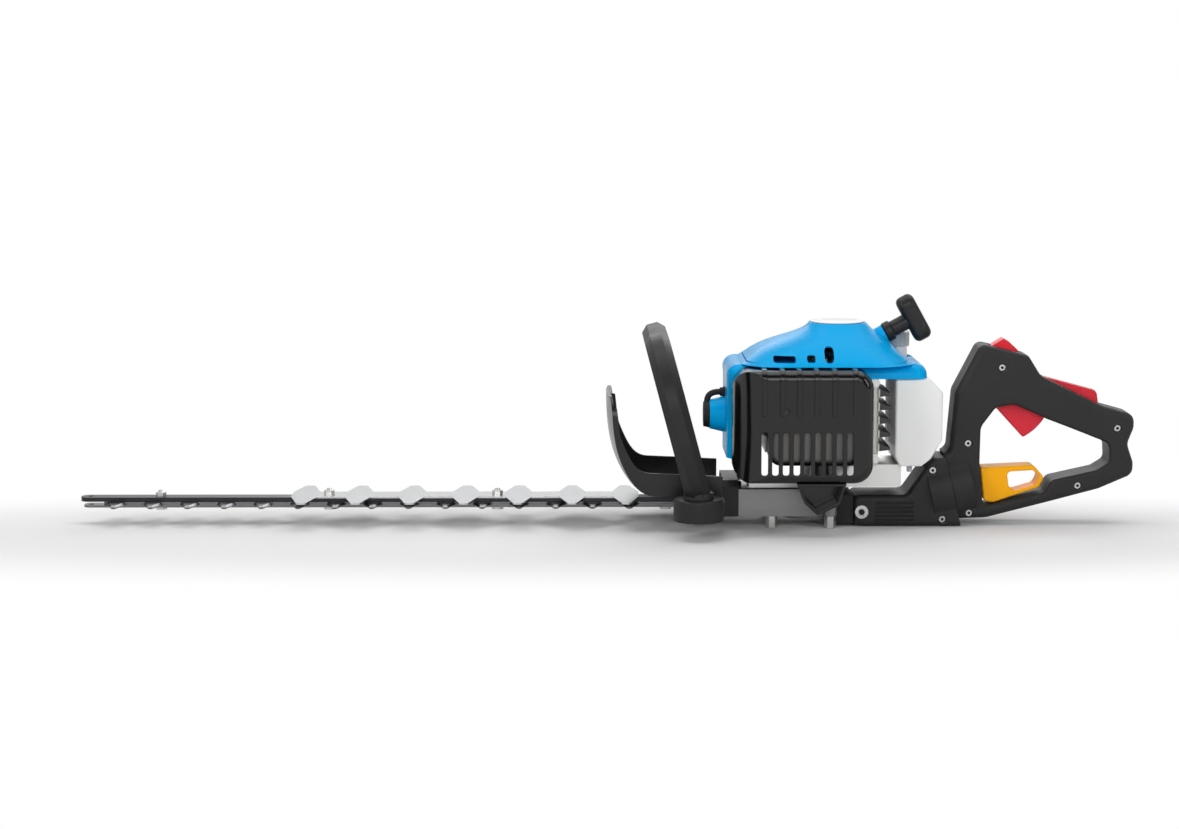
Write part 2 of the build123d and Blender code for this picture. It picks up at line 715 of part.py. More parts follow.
with BuildPart() as rear_handle_left:
    with BuildSketch(side_plane):
        with BuildLine():
            FilletPolyline(
                behind(151.8, 179.2),
                behind(105.0, 167.5),
                behind(92.4, 147.5),
                behind(33.4, 118.3),
                behind(0.0, 109.0),
                behind(0.0, 96.0),
                behind(6.2, 80.0),
                behind(0.0, 62.0),
                behind(0.0, 50.0),
                behind(33.4, 35.6),
                behind(81.6, 22.8),
                behind(143.6, 6.9),
                along_seam(swivel_z - swivel_r + 2.0, -20.0),
                along_seam(swivel_z + swivel_r - 1.0, -20.0),
                behind(181.0, 72.0),
                behind(176.1, 131.7),
                radius=[8, 8, 12, 30, 10, 12, 12, 12, 10, 30, 40, 30, 8, 8, 9, 16],
                close=True,
            )
        make_face()
        with BuildLine():
            FilletPolyline(
                behind(136.0, 116.5),
                behind(150.5, 97.0),
                behind(151.0, 62.4),
                behind(150.0, 52.0),
                behind(147.0, 17.6),
                behind(86.5, 32.6),
                behind(80.0, 44.6),
                behind(35.7, 54.5),
                behind(23.5, 62.4),
                behind(24.5, 81.0),
                behind(60.9, 95.4),
                behind(86.0, 105.0),
                behind(118.0, 119.5),
                radius=[10, 14, 8, 8, 6, 7, 8, 12, 7, 9, 30, 20, 8],
                close=True,
            )
        make_face(mode=Mode.SUBTRACT)
    extrude(amount=grip_half)
    fillet(faces().sort_by(Axis.Y)[0].outer_wire().edges(), grip_round)
    fillet(faces().sort_by(Axis.Y)[0].inner_wires()[0].edges(), loop_round)
    with BuildSketch(seam_plane.offset(seam_gap / 2)):
        Rectangle(8 * swivel_r, 8 * swivel_r)
    extrude(amount=-100, mode=Mode.SUBTRACT)
    # round flange at the swivel
    with BuildSketch(seam_plane.offset(seam_gap / 2)):
        Circle(swivel_r)
    extrude(amount=20.0, taper=6)
    with BuildSketch(Plane.XY.offset(-20)):
        with Locations((swivel_x, grip_half * 2)):
            Rectangle(200, grip_half * 4)
    extrude(amount=300, mode=Mode.SUBTRACT)
    with BuildSketch(seam_plane):
        Circle(spigot_r + running_gap)
    extrude(amount=spigot_length + part_gap, mode=Mode.SUBTRACT)
    # seats of the trigger, the lock-out lever, the stop switch and the lever's tongue
    with BuildSketch(side_plane):
        with Locations(trigger_pivot):
            Circle(12.0)
        with BuildLine():
            start = Vector(*trigger_pivot)
            low = start + Vector(trigger_r + 1, 0).rotate(Axis.Z, trigger_from_deg - 52)
            middle = start + Vector(trigger_r + 1, 0).rotate(Axis.Z, -40)
            high = start + Vector(trigger_r + 1, 0).rotate(Axis.Z, trigger_to_deg + trigger_travel_deg + 1)
            Line(start, low)
            ThreePointArc(low, middle, high)
            Polyline(high, start + Vector(0, 9.0), start)
        make_face()
    extrude(amount=trigger_half + control_gap, mode=Mode.SUBTRACT)
    with BuildSketch(side_plane):
        with BuildLine():
            Polyline(
                behind(94.5, 152.0),
                behind(94.0, 134.5),
                behind(60.0, 118.0),
                behind(33.0, 103.5),
                behind(30.5, 135.0),
                close=True,
            )
        make_face()
    extrude(amount=lockout_half + control_gap, mode=Mode.SUBTRACT)
    with BuildSketch(side_plane):
        with BuildLine():
            Polyline(
                behind(143.0, 190.0),
                behind(141.5, 158.0),
                behind(112.0, 156.0),
                behind(111.5, 190.0),
                close=True,
            )
        make_face()
    extrude(amount=switch_half + control_gap, mode=Mode.SUBTRACT)
    # pin holes and screw holes
    with BuildSketch(side_plane):
        with Locations(trigger_pivot, lockout_pivot, switch_pivot):
            Circle(pivot_pin_d / 2)
        with Locations(handle_screw_places):
            Circle(1.6)
    extrude(amount=grip_half - 4.0, mode=Mode.SUBTRACT)
    with BuildSketch(side_plane.offset(grip_half - 7.0)):
        with Locations(handle_screw_places):
            Circle(handle_screw_r + 0.6)
    extrude(amount=40.0, mode=Mode.SUBTRACT)
save(rear_handle_left, "rear_handle_left")

with BuildPart() as rear_handle_right:
    mirror(rear_handle_left.part, about=Plane.XZ)
save(rear_handle_right, "rear_handle_right")

# Throttle trigger: a sector that turns on its pin; its front face is where the fingers pull
with BuildPart() as throttle_trigger:
    with BuildSketch(side_plane.offset(-trigger_half)):
        with BuildLine():
            hub = Vector(*trigger_pivot)
            toe = hub + Vector(trigger_r, 0).rotate(Axis.Z, trigger_from_deg)
            bend = hub + Vector(trigger_r, 0).rotate(Axis.Z, (trigger_from_deg + trigger_to_deg) / 2)
            heel = hub + Vector(trigger_r, 0).rotate(Axis.Z, trigger_to_deg)
            root = hub + Vector(8.0, 0).rotate(Axis.Z, trigger_to_deg)
            Polyline(heel, root, hub + Vector(0, 6.5), hub + Vector(-6.5, 0), hub + Vector(-4.0, -16.0), toe)
            ThreePointArc(toe, bend, heel)
        make_face()
        fillet(vertices().sort_by_distance(toe)[0], 1.5)
    extrude(amount=2 * trigger_half)
    chamfer(faces().filter_by(Axis.Y).edges(), 0.8)
    with BuildSketch(side_plane.offset(-trigger_half)):
        with Locations(trigger_pivot):
            Circle(pivot_pin_d / 2 + running_gap)
    extrude(amount=2 * trigger_half, mode=Mode.SUBTRACT)
save(throttle_trigger, "throttle_trigger")

# Lock-out lever along the top of the grip
with BuildPart() as lockout_lever:
    with BuildSketch(side_plane.offset(-lockout_half)):
        with BuildLine():
            Polyline(
                behind(92.6, 146.6),
                behind(37.3, 131.7),
                behind(35.3, 128.7),
                behind(33.6, 117.0),
                behind(62.0, 127.5),
                behind(80.0, 134.0),
                behind(91.0, 136.5),
                close=True,
            )
        make_face()
    extrude(amount=2 * lockout_half)
    fillet(faces().filter_by(Axis.Y).edges().filter_by(GeomType.LINE), 1.0)
    with BuildSketch(side_plane.offset(-lockout_half)):
        with Locations(lockout_pivot):
            Circle(pivot_pin_d / 2 + running_gap)
    extrude(amount=2 * lockout_half, mode=Mode.SUBTRACT)
save(lockout_lever, "lockout_lever")

# Stop switch: a rocker with one raised corner
with BuildPart() as stop_switch:
    with BuildSketch(side_plane.offset(-switch_half)):
        with Locations(switch_pivot):
            Circle(7.5)
        with BuildLine():
            Polyline(
                behind(139.6, 176.0),
                behind(128.2, 183.2),
                behind(123.4, 180.4),
                behind(114.1, 171.8),
                behind(114.6, 168.0),
                behind(138.4, 172.0),
                close=True,
            )
        make_face()
    extrude(amount=2 * switch_half)
    with BuildSketch(side_plane.offset(-switch_half)):
        with Locations(switch_pivot):
            Circle(pivot_pin_d / 2 + running_gap)
    extrude(amount=2 * switch_half, mode=Mode.SUBTRACT)
save(stop_switch, "stop_switch")

with BuildPart() as control_pins:
    with BuildSketch(side_plane.offset(-(grip_half - 4.5))):
        with Locations(trigger_pivot, lockout_pivot, switch_pivot):
            Circle(pivot_pin_d / 2)
    extrude(amount=2 * (grip_half - 4.5))
save(control_pins, "control_pins")

# Swivel lock lever with a finger hole; it slides along the swivel axis
with BuildPart() as swivel_lock_lever:
    with BuildSketch(side_plane.offset(-lever_half)):
        with BuildLine():
            FilletPolyline(
                behind(149.1, 56.0),
                behind(97.0, 58.4),
                behind(86.0, 46.0),
                behind(91.5, 36.2),
                behind(136.0, 21.25),
                behind(145.1, 22.65),
                radius=[2.5, 6, 5, 4, 8, 4],
                close=True,
            )
        make_face()
        with BuildLine():
            FilletPolyline(
                behind(123.0, 51.8),
                behind(97.0, 53.4),
                behind(90.3, 47.5),
                behind(95.0, 38.6),
                behind(116.0, 32.4),
                behind(121.0, 37.5),
                radius=[4, 5, 5, 6, 4, 4],
                close=True,
            )
        make_face(mode=Mode.SUBTRACT)
    extrude(amount=2 * lever_half)
    chamfer(faces().filter_by(Axis.Y).edges(), 1.0)
save(swivel_lock_lever, "swivel_lock_lever")

with BuildPart() as handle_screws:
    with BuildSketch(side_plane.offset(grip_half - 7.0)):
        with Locations(handle_screw_places):
            Circle(handle_screw_r)
    extrude(amount=3.0)
    with BuildSketch(side_plane.offset(grip_half - 7.0)):
        with Locations(handle_screw_places):
            Circle(1.5)
    extrude(amount=-(grip_half + 6.0))
save(handle_screws, "handle_screws")

# Swivel base: two fixed halves bolted to the rubber mounts, with a spigot that the handle turns on
base_front_x = crank_x + 15.0
base_half = 27.0
base_block_top = 31.0
base_rise_x = crank_x + 67.0
base_bolt_x = crank_x + 23.0
base_bolt_z = 15.0
base_bolt_d = 8.0
base_screw_places = [(crank_x + 93.0, 55.0), (crank_x + 103.0, 6.5)]
rib_count = 5
rib_pitch = 4.2
rib_low_z = 6.5
rib_front_x = crank_x + 37.0
rib_rear_x = crank_x + 74.0
tongue_half = 9.0
tongue_height = 18.0
tongue_rear_x = base_bolt_x + 9.0

with BuildPart() as swivel_base_left:
    with BuildSketch(side_plane):
        with BuildLine():
            FilletPolyline(
                (base_front_x, 0),
                (base_front_x, base_block_top),
                (base_rise_x, base_block_top),
                (base_rise_x + 25.0, swivel_z + swivel_r - 1.0),
                along_seam(swivel_z + swivel_r - 1.0, 20.0),
                along_seam(0, 20.0),
                radius=[6, 6, 8, 8, 8, 8],
                close=True,
            )
        make_face()
    extrude(amount=base_half)
    fillet(faces().sort_by(Axis.Y)[0].edges(), 5.0)
    with BuildSketch(seam_plane.offset(-seam_gap / 2)):
        Circle(swivel_r)
    extrude(amount=-22.0)
    with BuildSketch(seam_plane.offset(-seam_gap / 2)):
        Rectangle(8 * swivel_r, 8 * swivel_r)
    extrude(amount=100, mode=Mode.SUBTRACT)
    with BuildSketch(seam_plane.offset(-seam_gap)):
        Circle(spigot_r)
    extrude(amount=spigot_length + seam_gap)
    with BuildSketch(Plane.XY.offset(-40)):
        Rectangle(overall_length, 4 * overall_width)
    extrude(amount=40, mode=Mode.SUBTRACT)
    with BuildSketch(Plane.XY.offset(-40)):
        with Locations((swivel_x, 100)):
            Rectangle(400, 200)
    extrude(amount=400, mode=Mode.SUBTRACT)
    # grooves between the ribs, the mount's slot, the bolt hole and the screw holes
    with BuildSketch(side_plane.offset(base_half - 2.0)):
        with Locations([((rib_front_x + rib_rear_x) / 2, rib_low_z + rib_pitch * i) for i in range(rib_count)]):
            Rectangle(rib_rear_x - rib_front_x, rib_pitch / 2)
    extrude(amount=10, mode=Mode.SUBTRACT)
    with BuildSketch(Plane.XY.offset(base_bolt_z - tongue_height / 2 - part_gap)):
        with Locations(((base_front_x + tongue_rear_x) / 2, 0)):
            Rectangle(tongue_rear_x - base_front_x + 2 * part_gap, 2 * (tongue_half + part_gap))
    extrude(amount=tongue_height + 2 * part_gap, mode=Mode.SUBTRACT)
    with BuildSketch(side_plane):
        with Locations((base_bolt_x, base_bolt_z)):
            Circle(base_bolt_d / 2 + bolt_gap)
    extrude(amount=base_half + 5, mode=Mode.SUBTRACT)
    with BuildSketch(side_plane):
        with Locations(base_screw_places):
            Circle(1.6)
    extrude(amount=base_half - 4, mode=Mode.SUBTRACT)
    with BuildSketch(side_plane.offset(base_half - 7.0)):
        with Locations(base_screw_places):
            Circle(handle_screw_r + 0.6)
    extrude(amount=40.0, mode=Mode.SUBTRACT)
save(swivel_base_left, "swivel_base_left")

with BuildPart() as swivel_base_right:
    mirror(swivel_base_left.part, about=Plane.XZ)
save(swivel_base_right, "swivel_base_right")

with BuildPart() as base_screws:
    with BuildSketch(side_plane.offset(base_half - 7.0)):
        with Locations(base_screw_places):
            Circle(handle_screw_r)
    extrude(amount=3.0)
    with BuildSketch(side_plane.offset(base_half - 7.0)):
        with Locations(base_screw_places):
            Circle(1.5)
    extrude(amount=-(base_half + 6.0))
save(base_screws, "base_screws")

base_bolt_head_r = 6.5
with BuildPart() as base_bolt:
    with BuildSketch(side_plane.offset(-base_half)):
        with Locations((base_bolt_x, base_bolt_z)):
            Circle(base_bolt_d / 2)
    extrude(amount=2 * base_half)
    with BuildSketch(side_plane.offset(base_half)):
        with Locations((base_bolt_x, base_bolt_z)):
            Circle(base_bolt_head_r)
    extrude(amount=4.0)
    with BuildSketch(side_plane.offset(base_half + 1.5)):
        with Locations((base_bolt_x, base_bolt_z)):
            RegularPolygon(3.0, 6, major_radius=False)
    extrude(amount=4.0, mode=Mode.SUBTRACT)
    with BuildSketch(side_plane.offset(-base_half)):
        with Locations((base_bolt_x, base_bolt_z)):
            RegularPolygon(base_bolt_head_r, 6, major_radius=False)
    extrude(amount=-5.0)
save(base_bolt, "base_bolt")

# Rubber mount between the gear case and the swivel base
mount_front_x = gear_x + 18.0
mount_bottom_z = 3.0
with BuildPart() as vibration_mount:
    with BuildSketch(Plane.XY.offset(mount_bottom_z)):
        with Locations(((mount_front_x + base_front_x) / 2, 0)):
            Rectangle(base_front_x - mount_front_x, 2 * base_half)
    extrude(amount=base_block_top - mount_bottom_z)
    with BuildSketch(Plane.XY.offset(mount_bottom_z)):
        case_plan(part_gap / 2)
        with Locations(case_bolt_places):
            Circle(bolt_lug_r + part_gap / 2)
    extrude(amount=base_block_top - mount_bottom_z, mode=Mode.SUBTRACT)
    with BuildSketch(Plane.XY.offset(base_bolt_z - tongue_height / 2)):
        with Locations(((base_front_x - 2.0 + tongue_rear_x) / 2, 0)):
            Rectangle(tongue_rear_x - base_front_x + 2.0, 2 * tongue_half)
    extrude(amount=tongue_height)
    with BuildSketch(side_plane.offset(-base_half)):
        with Locations((base_bolt_x, base_bolt_z)):
            Circle(base_bolt_d / 2 + bolt_gap)
    extrude(amount=2 * base_half, mode=Mode.SUBTRACT)
save(vibration_mount, "vibration_mount")

# Clutch housing between the gear case and the crankcase
clutch_top_z = 62.0
clutch_pocket_r = drum_r + 1.5
clutch_wall = 6.0
housing_tail = 61.0
housing_half = 30.0
with BuildPart() as clutch_housing:
    with BuildSketch(Plane.XY.offset(clutch_z)):
        with Locations((crank_x, 0)):
            Circle(clutch_pocket_r + clutch_wall)
        with Locations((crank_x + housing_tail / 2, 0)):
            Rectangle(housing_tail, 2 * housing_half)
    extrude(amount=clutch_top_z - clutch_z)
    chamfer(edges().filter_by(Axis.Y).group_by(Axis.X)[-1], 2.0)
    with BuildSketch(Plane.XY.offset(clutch_z + clutch_floor)):
        with Locations((crank_x, 0)):
            Circle(clutch_pocket_r)
    extrude(amount=clutch_top_z - clutch_z, mode=Mode.SUBTRACT)
    with BuildSketch(Plane.XY.offset(clutch_z)):
        with Locations((crank_x, 0)):
            Circle(pinion_shaft_d / 2 + part_gap)
    extrude(amount=clutch_floor, mode=Mode.SUBTRACT)
save(clutch_housing, "clutch_housing")

# Crankcase with stacked ribs on its rear wall
crankcase_top_z = 150.0
crankcase_front_x = crank_x - 36.0
crankcase_rear_x = crank_x + 38.0
journal_r = 7.0
bearing_wall = 12.0
crank_chamber_r = 29.0
case_rib_count = 5
case_rib_low_z = 76.0
case_rib_pitch = 13.3
case_rib_thickness = 8.0
case_rib_reach = 11.0
with BuildPart() as crankcase:
    with BuildSketch(Plane.XY.offset(clutch_top_z)):
        with Locations(((crankcase_front_x + crankcase_rear_x) / 2, 0)):
            RectangleRounded(crankcase_rear_x - crankcase_front_x, 2 * crankcase_half, 9.0)
    extrude(amount=crankcase_top_z - clutch_top_z)
    for i in range(case_rib_count):
        rib_z = case_rib_low_z + case_rib_pitch * i
        with BuildSketch(Plane.XZ.offset(-crankcase_half + 12.0)):
            with BuildLine():
                Polyline(
                    (crankcase_rear_x - 1.0, rib_z),
                    (crankcase_rear_x + case_rib_reach, rib_z + 1.5),
                    (crankcase_rear_x + case_rib_reach, rib_z + case_rib_thickness / 2),
                    (crankcase_rear_x - 1.0, rib_z + case_rib_thickness),
                    close=True,
                )
            make_face()
        extrude(amount=2 * crankcase_half - 14.0)
    with BuildSketch(Plane.XY.offset(clutch_top_z)):
        with Locations((crank_x, 0)):
            Circle(journal_r + running_gap)
    extrude(amount=crankcase_top_z - clutch_top_z, mode=Mode.SUBTRACT)
    with BuildSketch(Plane((crank_x, 0, clutch_top_z + bearing_wall))):
        Circle(crank_chamber_r)
    extrude(amount=crankcase_top_z - clutch_top_z - 2 * bearing_wall, mode=Mode.SUBTRACT)
save(crankcase, "crankcase")

# Crankshaft with the clutch shoes below and the flywheel fan above
crank_low_z = drum_z + drum_wall + 1.0
flywheel_z = crankcase_top_z + 3.0
flywheel_thickness = 7.0
flywheel_r = 37.0
fan_blade_count = 12
fan_blade_height = 6.0
crank_high_z = flywheel_z + flywheel_thickness + 5.0
with BuildPart() as crankshaft:
    with BuildSketch(Plane((crank_x, 0, crank_low_z))):
        Circle(journal_r)
    extrude(amount=crank_high_z - crank_low_z)
    chamfer(edges().filter_by(GeomType.CIRCLE), 1.0)
save(crankshaft, "crankshaft")

shoe_r = drum_r - drum_wall - 1.0
shoe_split = 5.0
with BuildPart() as clutch_shoes:
    with BuildSketch(Plane((crank_x, 0, crank_low_z + 1.0))):
        Circle(shoe_r)
        Circle(journal_r + running_gap, mode=Mode.SUBTRACT)
        Rectangle(2 * shoe_r, shoe_split, mode=Mode.SUBTRACT)
    extrude(amount=10.0)
save(clutch_shoes, "clutch_shoes")

with BuildPart() as flywheel:
    with BuildSketch(Plane((crank_x, 0, flywheel_z))):
        Circle(flywheel_r)
        Circle(journal_r + running_gap, mode=Mode.SUBTRACT)
    extrude(amount=flywheel_thickness)
    with BuildSketch(Plane((crank_x, 0, flywheel_z + flywheel_thickness))):
        with PolarLocations(0.72 * flywheel_r, fan_blade_count):
            Rectangle(0.45 * flywheel_r, 2.5, rotation=25)
    extrude(amount=fan_blade_height)
save(flywheel, "flywheel")

# Cylinder lying forward of the crankcase, with square fins
cylinder_z = 108.0
cylinder_r = 22.0
cylinder_front_x = crank_x - 98.0
fin_count = 7
fin_pitch = 8.0
fin_thickness = 3.0
fin_half = 34.0
with BuildPart() as cylinder:
    with BuildSketch(Plane((cylinder_front_x, 0, cylinder_z), x_dir=(0, 1, 0), z_dir=(1, 0, 0))):
        Circle(cylinder_r)
    extrude(amount=crankcase_front_x - cylinder_front_x)
    for i in range(fin_count):
        fin_x = cylinder_front_x + 2.0 + fin_pitch * i
        with BuildSketch(Plane((fin_x, 0, cylinder_z), x_dir=(0, 1, 0), z_dir=(1, 0, 0))):
            RectangleRounded(2 * fin_half, 2 * fin_half, 6.0)
        extrude(amount=fin_thickness)
save(cylinder, "cylinder")

# Spark plug in the head, and the boot that covers it
shroud_front_x = crank_x - 110.0
dome_front_x = shroud_front_x - 15.0
with BuildPart() as spark_plug:
    with BuildSketch(Plane((cylinder_front_x, 0, cylinder_z), x_dir=(0, 1, 0), z_dir=(-1, 0, 0))):
        RegularPolygon(8.0, 6, major_radius=False)
    extrude(amount=6.0)
    with BuildSketch(Plane((cylinder_front_x - 6.0, 0, cylinder_z), x_dir=(0, 1, 0), z_dir=(-1, 0, 0))):
        Circle(4.5)
    extrude(amount=9.0, taper=4)
save(spark_plug, "spark_plug")

with BuildPart() as plug_cap:
    with BuildSketch(Plane((dome_front_x, 0, cylinder_z), x_dir=(0, 1, 0), z_dir=(-1, 0, 0))):
        Circle(13.5)
    extrude(amount=6.0, taper=12)
    with BuildSketch(Plane((dome_front_x, 0, cylinder_z), x_dir=(0, 1, 0), z_dir=(1, 0, 0))):
        Circle(9.5)
    extrude(amount=12.0)
    with BuildSketch(Plane((dome_front_x + 12.0, 0, cylinder_z), x_dir=(0, 1, 0), z_dir=(-1, 0, 0))):
        Circle(5.0)
    extrude(amount=6.0, mode=Mode.SUBTRACT)
save(plug_cap, "plug_cap")

# Muffler beside the cylinder, with its outlet pointing down
muffler_near = 84.0
muffler_back = 50.0
muffler_low_z = 68.0
muffler_wall = 1.6
muffler_top_z = 146.0
muffler_front_x = crank_x - 72.0
muffler_rear_x = crank_x + 16.0
outlet_x = crank_x - 20.0
outlet_r = 7.0
cover_low_z = 52.0
with BuildPart() as muffler:
    with BuildSketch(Plane.XZ.offset(muffler_back)):
        with Locations(((muffler_front_x + muffler_rear_x) / 2, (muffler_low_z + muffler_top_z) / 2)):
            RectangleRounded(muffler_rear_x - muffler_front_x, muffler_top_z - muffler_low_z, 12.0)
    extrude(amount=muffler_near - muffler_back)
    fillet(faces().sort_by(Axis.Y)[0].edges(), 8.0)
    with BuildSketch(Plane.XZ.offset(fin_half)):
        with Locations((cylinder_front_x + 40.0, cylinder_z)):
            RectangleRounded(36.0, 30.0, 4.0)
    extrude(amount=muffler_back - fin_half + 1.0)
    with BuildSketch(Plane((outlet_x, -(muffler_near + muffler_back) / 2, cover_low_z + 1.0))):
        Circle(outlet_r)
    extrude(amount=muffler_low_z - cover_low_z)
    with BuildSketch(Plane.XZ.offset(muffler_back + muffler_wall)):
        with Locations(((muffler_front_x + muffler_rear_x) / 2, (muffler_low_z + muffler_top_z) / 2)):
            RectangleRounded(
                muffler_rear_x - muffler_front_x - 6 * muffler_wall,
                muffler_top_z - muffler_low_z - 6 * muffler_wall,
                6.0,
            )
    extrude(amount=muffler_near - muffler_back - 2 * muffler_wall, mode=Mode.SUBTRACT)
    with BuildSketch(Plane((outlet_x, -(muffler_near + muffler_back) / 2, cover_low_z + 1.0))):
        Circle(outlet_r - 1.5)
    extrude(amount=muffler_low_z - cover_low_z + 10.0, mode=Mode.SUBTRACT)
save(muffler, "muffler")

# Muffler cover: a glossy shell with a swept front end, raised ribs and a row of louvres
cover_front_x = crank_x - 106.0
cover_rear_x = crank_x + 27.5
cover_top_z = 160.5
cover_near = 92.0
cover_back = 48.0
cover_wall = 2.2
cover_sweep = 34.0
cover_round = 9.0
cover_rib_xs = [crank_x + x for x in (-77.0, -60.0, -44.0, -27.5, -10.4, 9.5)]
cover_rib_width = 4.5
cover_rib_rise = 1.4
cover_rib_low_z = 118.0
louvre_count = 9
louvre_pitch = 10.2
louvre_first_x = crank_x - 76.6
louvre_width = 6.2
louvre_low_z = 60.4
louvre_top_z = 102.5
slip_clearance = 0.4


def cover_body(inset):
    """The cover's outer form, drawn in by the given distance; its back stays open at one plane."""
    with BuildPart() as body:
        with BuildSketch(Plane.XZ.offset(cover_back)):
            with Locations(((cover_front_x + cover_rear_x) / 2, (cover_low_z + cover_top_z) / 2)):
                RectangleRounded(
                    cover_rear_x - cover_front_x - 2 * inset, cover_top_z - cover_low_z - 2 * inset, 18.0 - inset
                )
        extrude(amount=cover_near - cover_back - inset)
        fillet(faces().sort_by(Axis.Y)[0].edges(), cover_round - inset)
        with BuildSketch(Plane.XY) as plan:
            with BuildLine():
                Polyline(
                    (cover_front_x + inset, -cover_back + 1.0),
                    (cover_rear_x + 5.0, -cover_back + 1.0),
                    (cover_rear_x + 5.0, -cover_near + inset),
                    (cover_front_x + inset, -cover_near + inset),
                    close=True,
                )
            make_face()
            fillet(plan.vertices().sort_by_distance((cover_front_x, -cover_near))[0], cover_sweep - inset)
        extrude(amount=2 * cover_top_z, mode=Mode.INTERSECT)
    return body.part


with BuildPart() as muffler_cover:
    add(cover_body(0))
    with BuildPart(mode=Mode.PRIVATE) as ribs:
        add(cover_body(-cover_rib_rise))
        with BuildSketch(Plane.XY.offset(cover_rib_low_z)):
            with Locations([(x, -cover_near) for x in cover_rib_xs]):
                Rectangle(cover_rib_width, 2 * (cover_near - cover_back - 2.0))
        extrude(amount=cover_top_z, mode=Mode.INTERSECT)
    add(ribs.part)
    add(cover_body(cover_wall), mode=Mode.SUBTRACT)
    with BuildSketch(Plane.XZ.offset(cover_near - 12.0)):
        with GridLocations(louvre_pitch, 1, louvre_count, 1):
            with Locations((louvre_first_x + louvre_pitch * (louvre_count - 1) / 2, (louvre_low_z + louvre_top_z) / 2)):
                SlotOverall(louvre_top_z - louvre_low_z, louvre_width, rotation=90)
    extrude(amount=20.0, mode=Mode.SUBTRACT)
    with BuildSketch(Plane.XZ.offset(cover_near - 12.0)):
        with Locations((crank_x - 56.0, 121.8)):
            Circle(3.0)
    extrude(amount=20.0, mode=Mode.SUBTRACT)
    with BuildSketch(Plane((outlet_x, -(muffler_near + muffler_back) / 2, cover_low_z - 2.0))):
        Circle(outlet_r + slip_clearance)
    extrude(amount=10.0, mode=Mode.SUBTRACT)
save(muffler_cover, "muffler_cover")

# Exhaust deflector: a pointed scoop under the muffler cover, open to the side
deflector_wall = 2.5
deflector_near = 88.0
deflector_back = 58.0
with BuildPart() as exhaust_deflector:
    with BuildSketch(Plane.XZ.offset(deflector_back)) as scoop:
        with BuildLine():
            Polyline(
                (crank_x - 45.5, cover_low_z),
                (crank_x - 38.0, 33.0),
                (crank_x - 25.0, 21.0),
                (crank_x - 4.0, 32.0),
                (crank_x + 2.0, cover_low_z),
                close=True,
            )
        make_face()
        fillet(scoop.vertices().group_by(Axis.Y)[0], 4.0)
    extrude(amount=deflector_near - deflector_back)
    with BuildSketch(Plane.XZ.offset(deflector_back + deflector_wall)):
        with BuildLine():
            Polyline(
                (crank_x - 41.8, cover_low_z - deflector_wall),
                (crank_x - 35.8, 34.6),
                (crank_x - 25.0, 24.6),
                (crank_x - 6.4, 34.2),
                (crank_x - 1.4, cover_low_z - deflector_wall),
                close=True,
            )
        make_face()
    extrude(amount=deflector_near - deflector_back, mode=Mode.SUBTRACT)
    with BuildSketch(Plane((outlet_x, -(muffler_near + muffler_back) / 2, cover_low_z - 4.0))):
        Circle(outlet_r - 1.5)
    extrude(amount=10.0, mode=Mode.SUBTRACT)
save(exhaust_deflector, "exhaust_deflector")

# Engine cover: hood over the flywheel and starter, skirt, and a front shroud round the cylinder
hood_low_z = 162.0
hood_wall = 2.5
hood_sections = [
    (hood_low_z, -97.0, 70.0, 72.0),
    (176.0, -77.0, 54.0, 58.0),
    (184.0, -58.0, 45.5, 47.0),
    (191.0, -38.0, 36.0, 37.0),
    (199.0, -27.5, 27.5, 27.5),
]
hood_room_zs = [164.5, 175.0, 182.5, 189.0, 196.3]
hood_top_z = hood_sections[-1][0]
skirt_low_z = 148.0
skirt_rear_x = crank_x + 84.0
skirt_far = 58.0
skirt_round = 14.0
skirt_top_round = 11.0
shroud_low_z = 70.0
shroud_depth = 22.0
shroud_wall = 3.0
fan_opening_r = 45.0
stud_places = [(crank_x + x, y) for x in (-32.0, 34.0) for y in (-36.0, 36.0)]
stud_r = 4.0
reel_post_r = 6.0
reel_low_z = 170.0
rope_tilt_deg = 29.0
rope_dir = Vector(1, 0, 0).rotate(Axis.Y, -rope_tilt_deg)
rope_start = Vector(crank_x + 22.0, 0, 174.0)
rope_boss_length = 28.0
rope_boss_r = 9.0
rope_r = 1.6
rope_hole_r = 2.2
neck_place = (crank_x + 64.0, 34.0)
neck_r = 9.0
cap_r = 11.0
rope_plane = Plane(rope_start, x_dir=(0, 1, 0), z_dir=rope_dir)
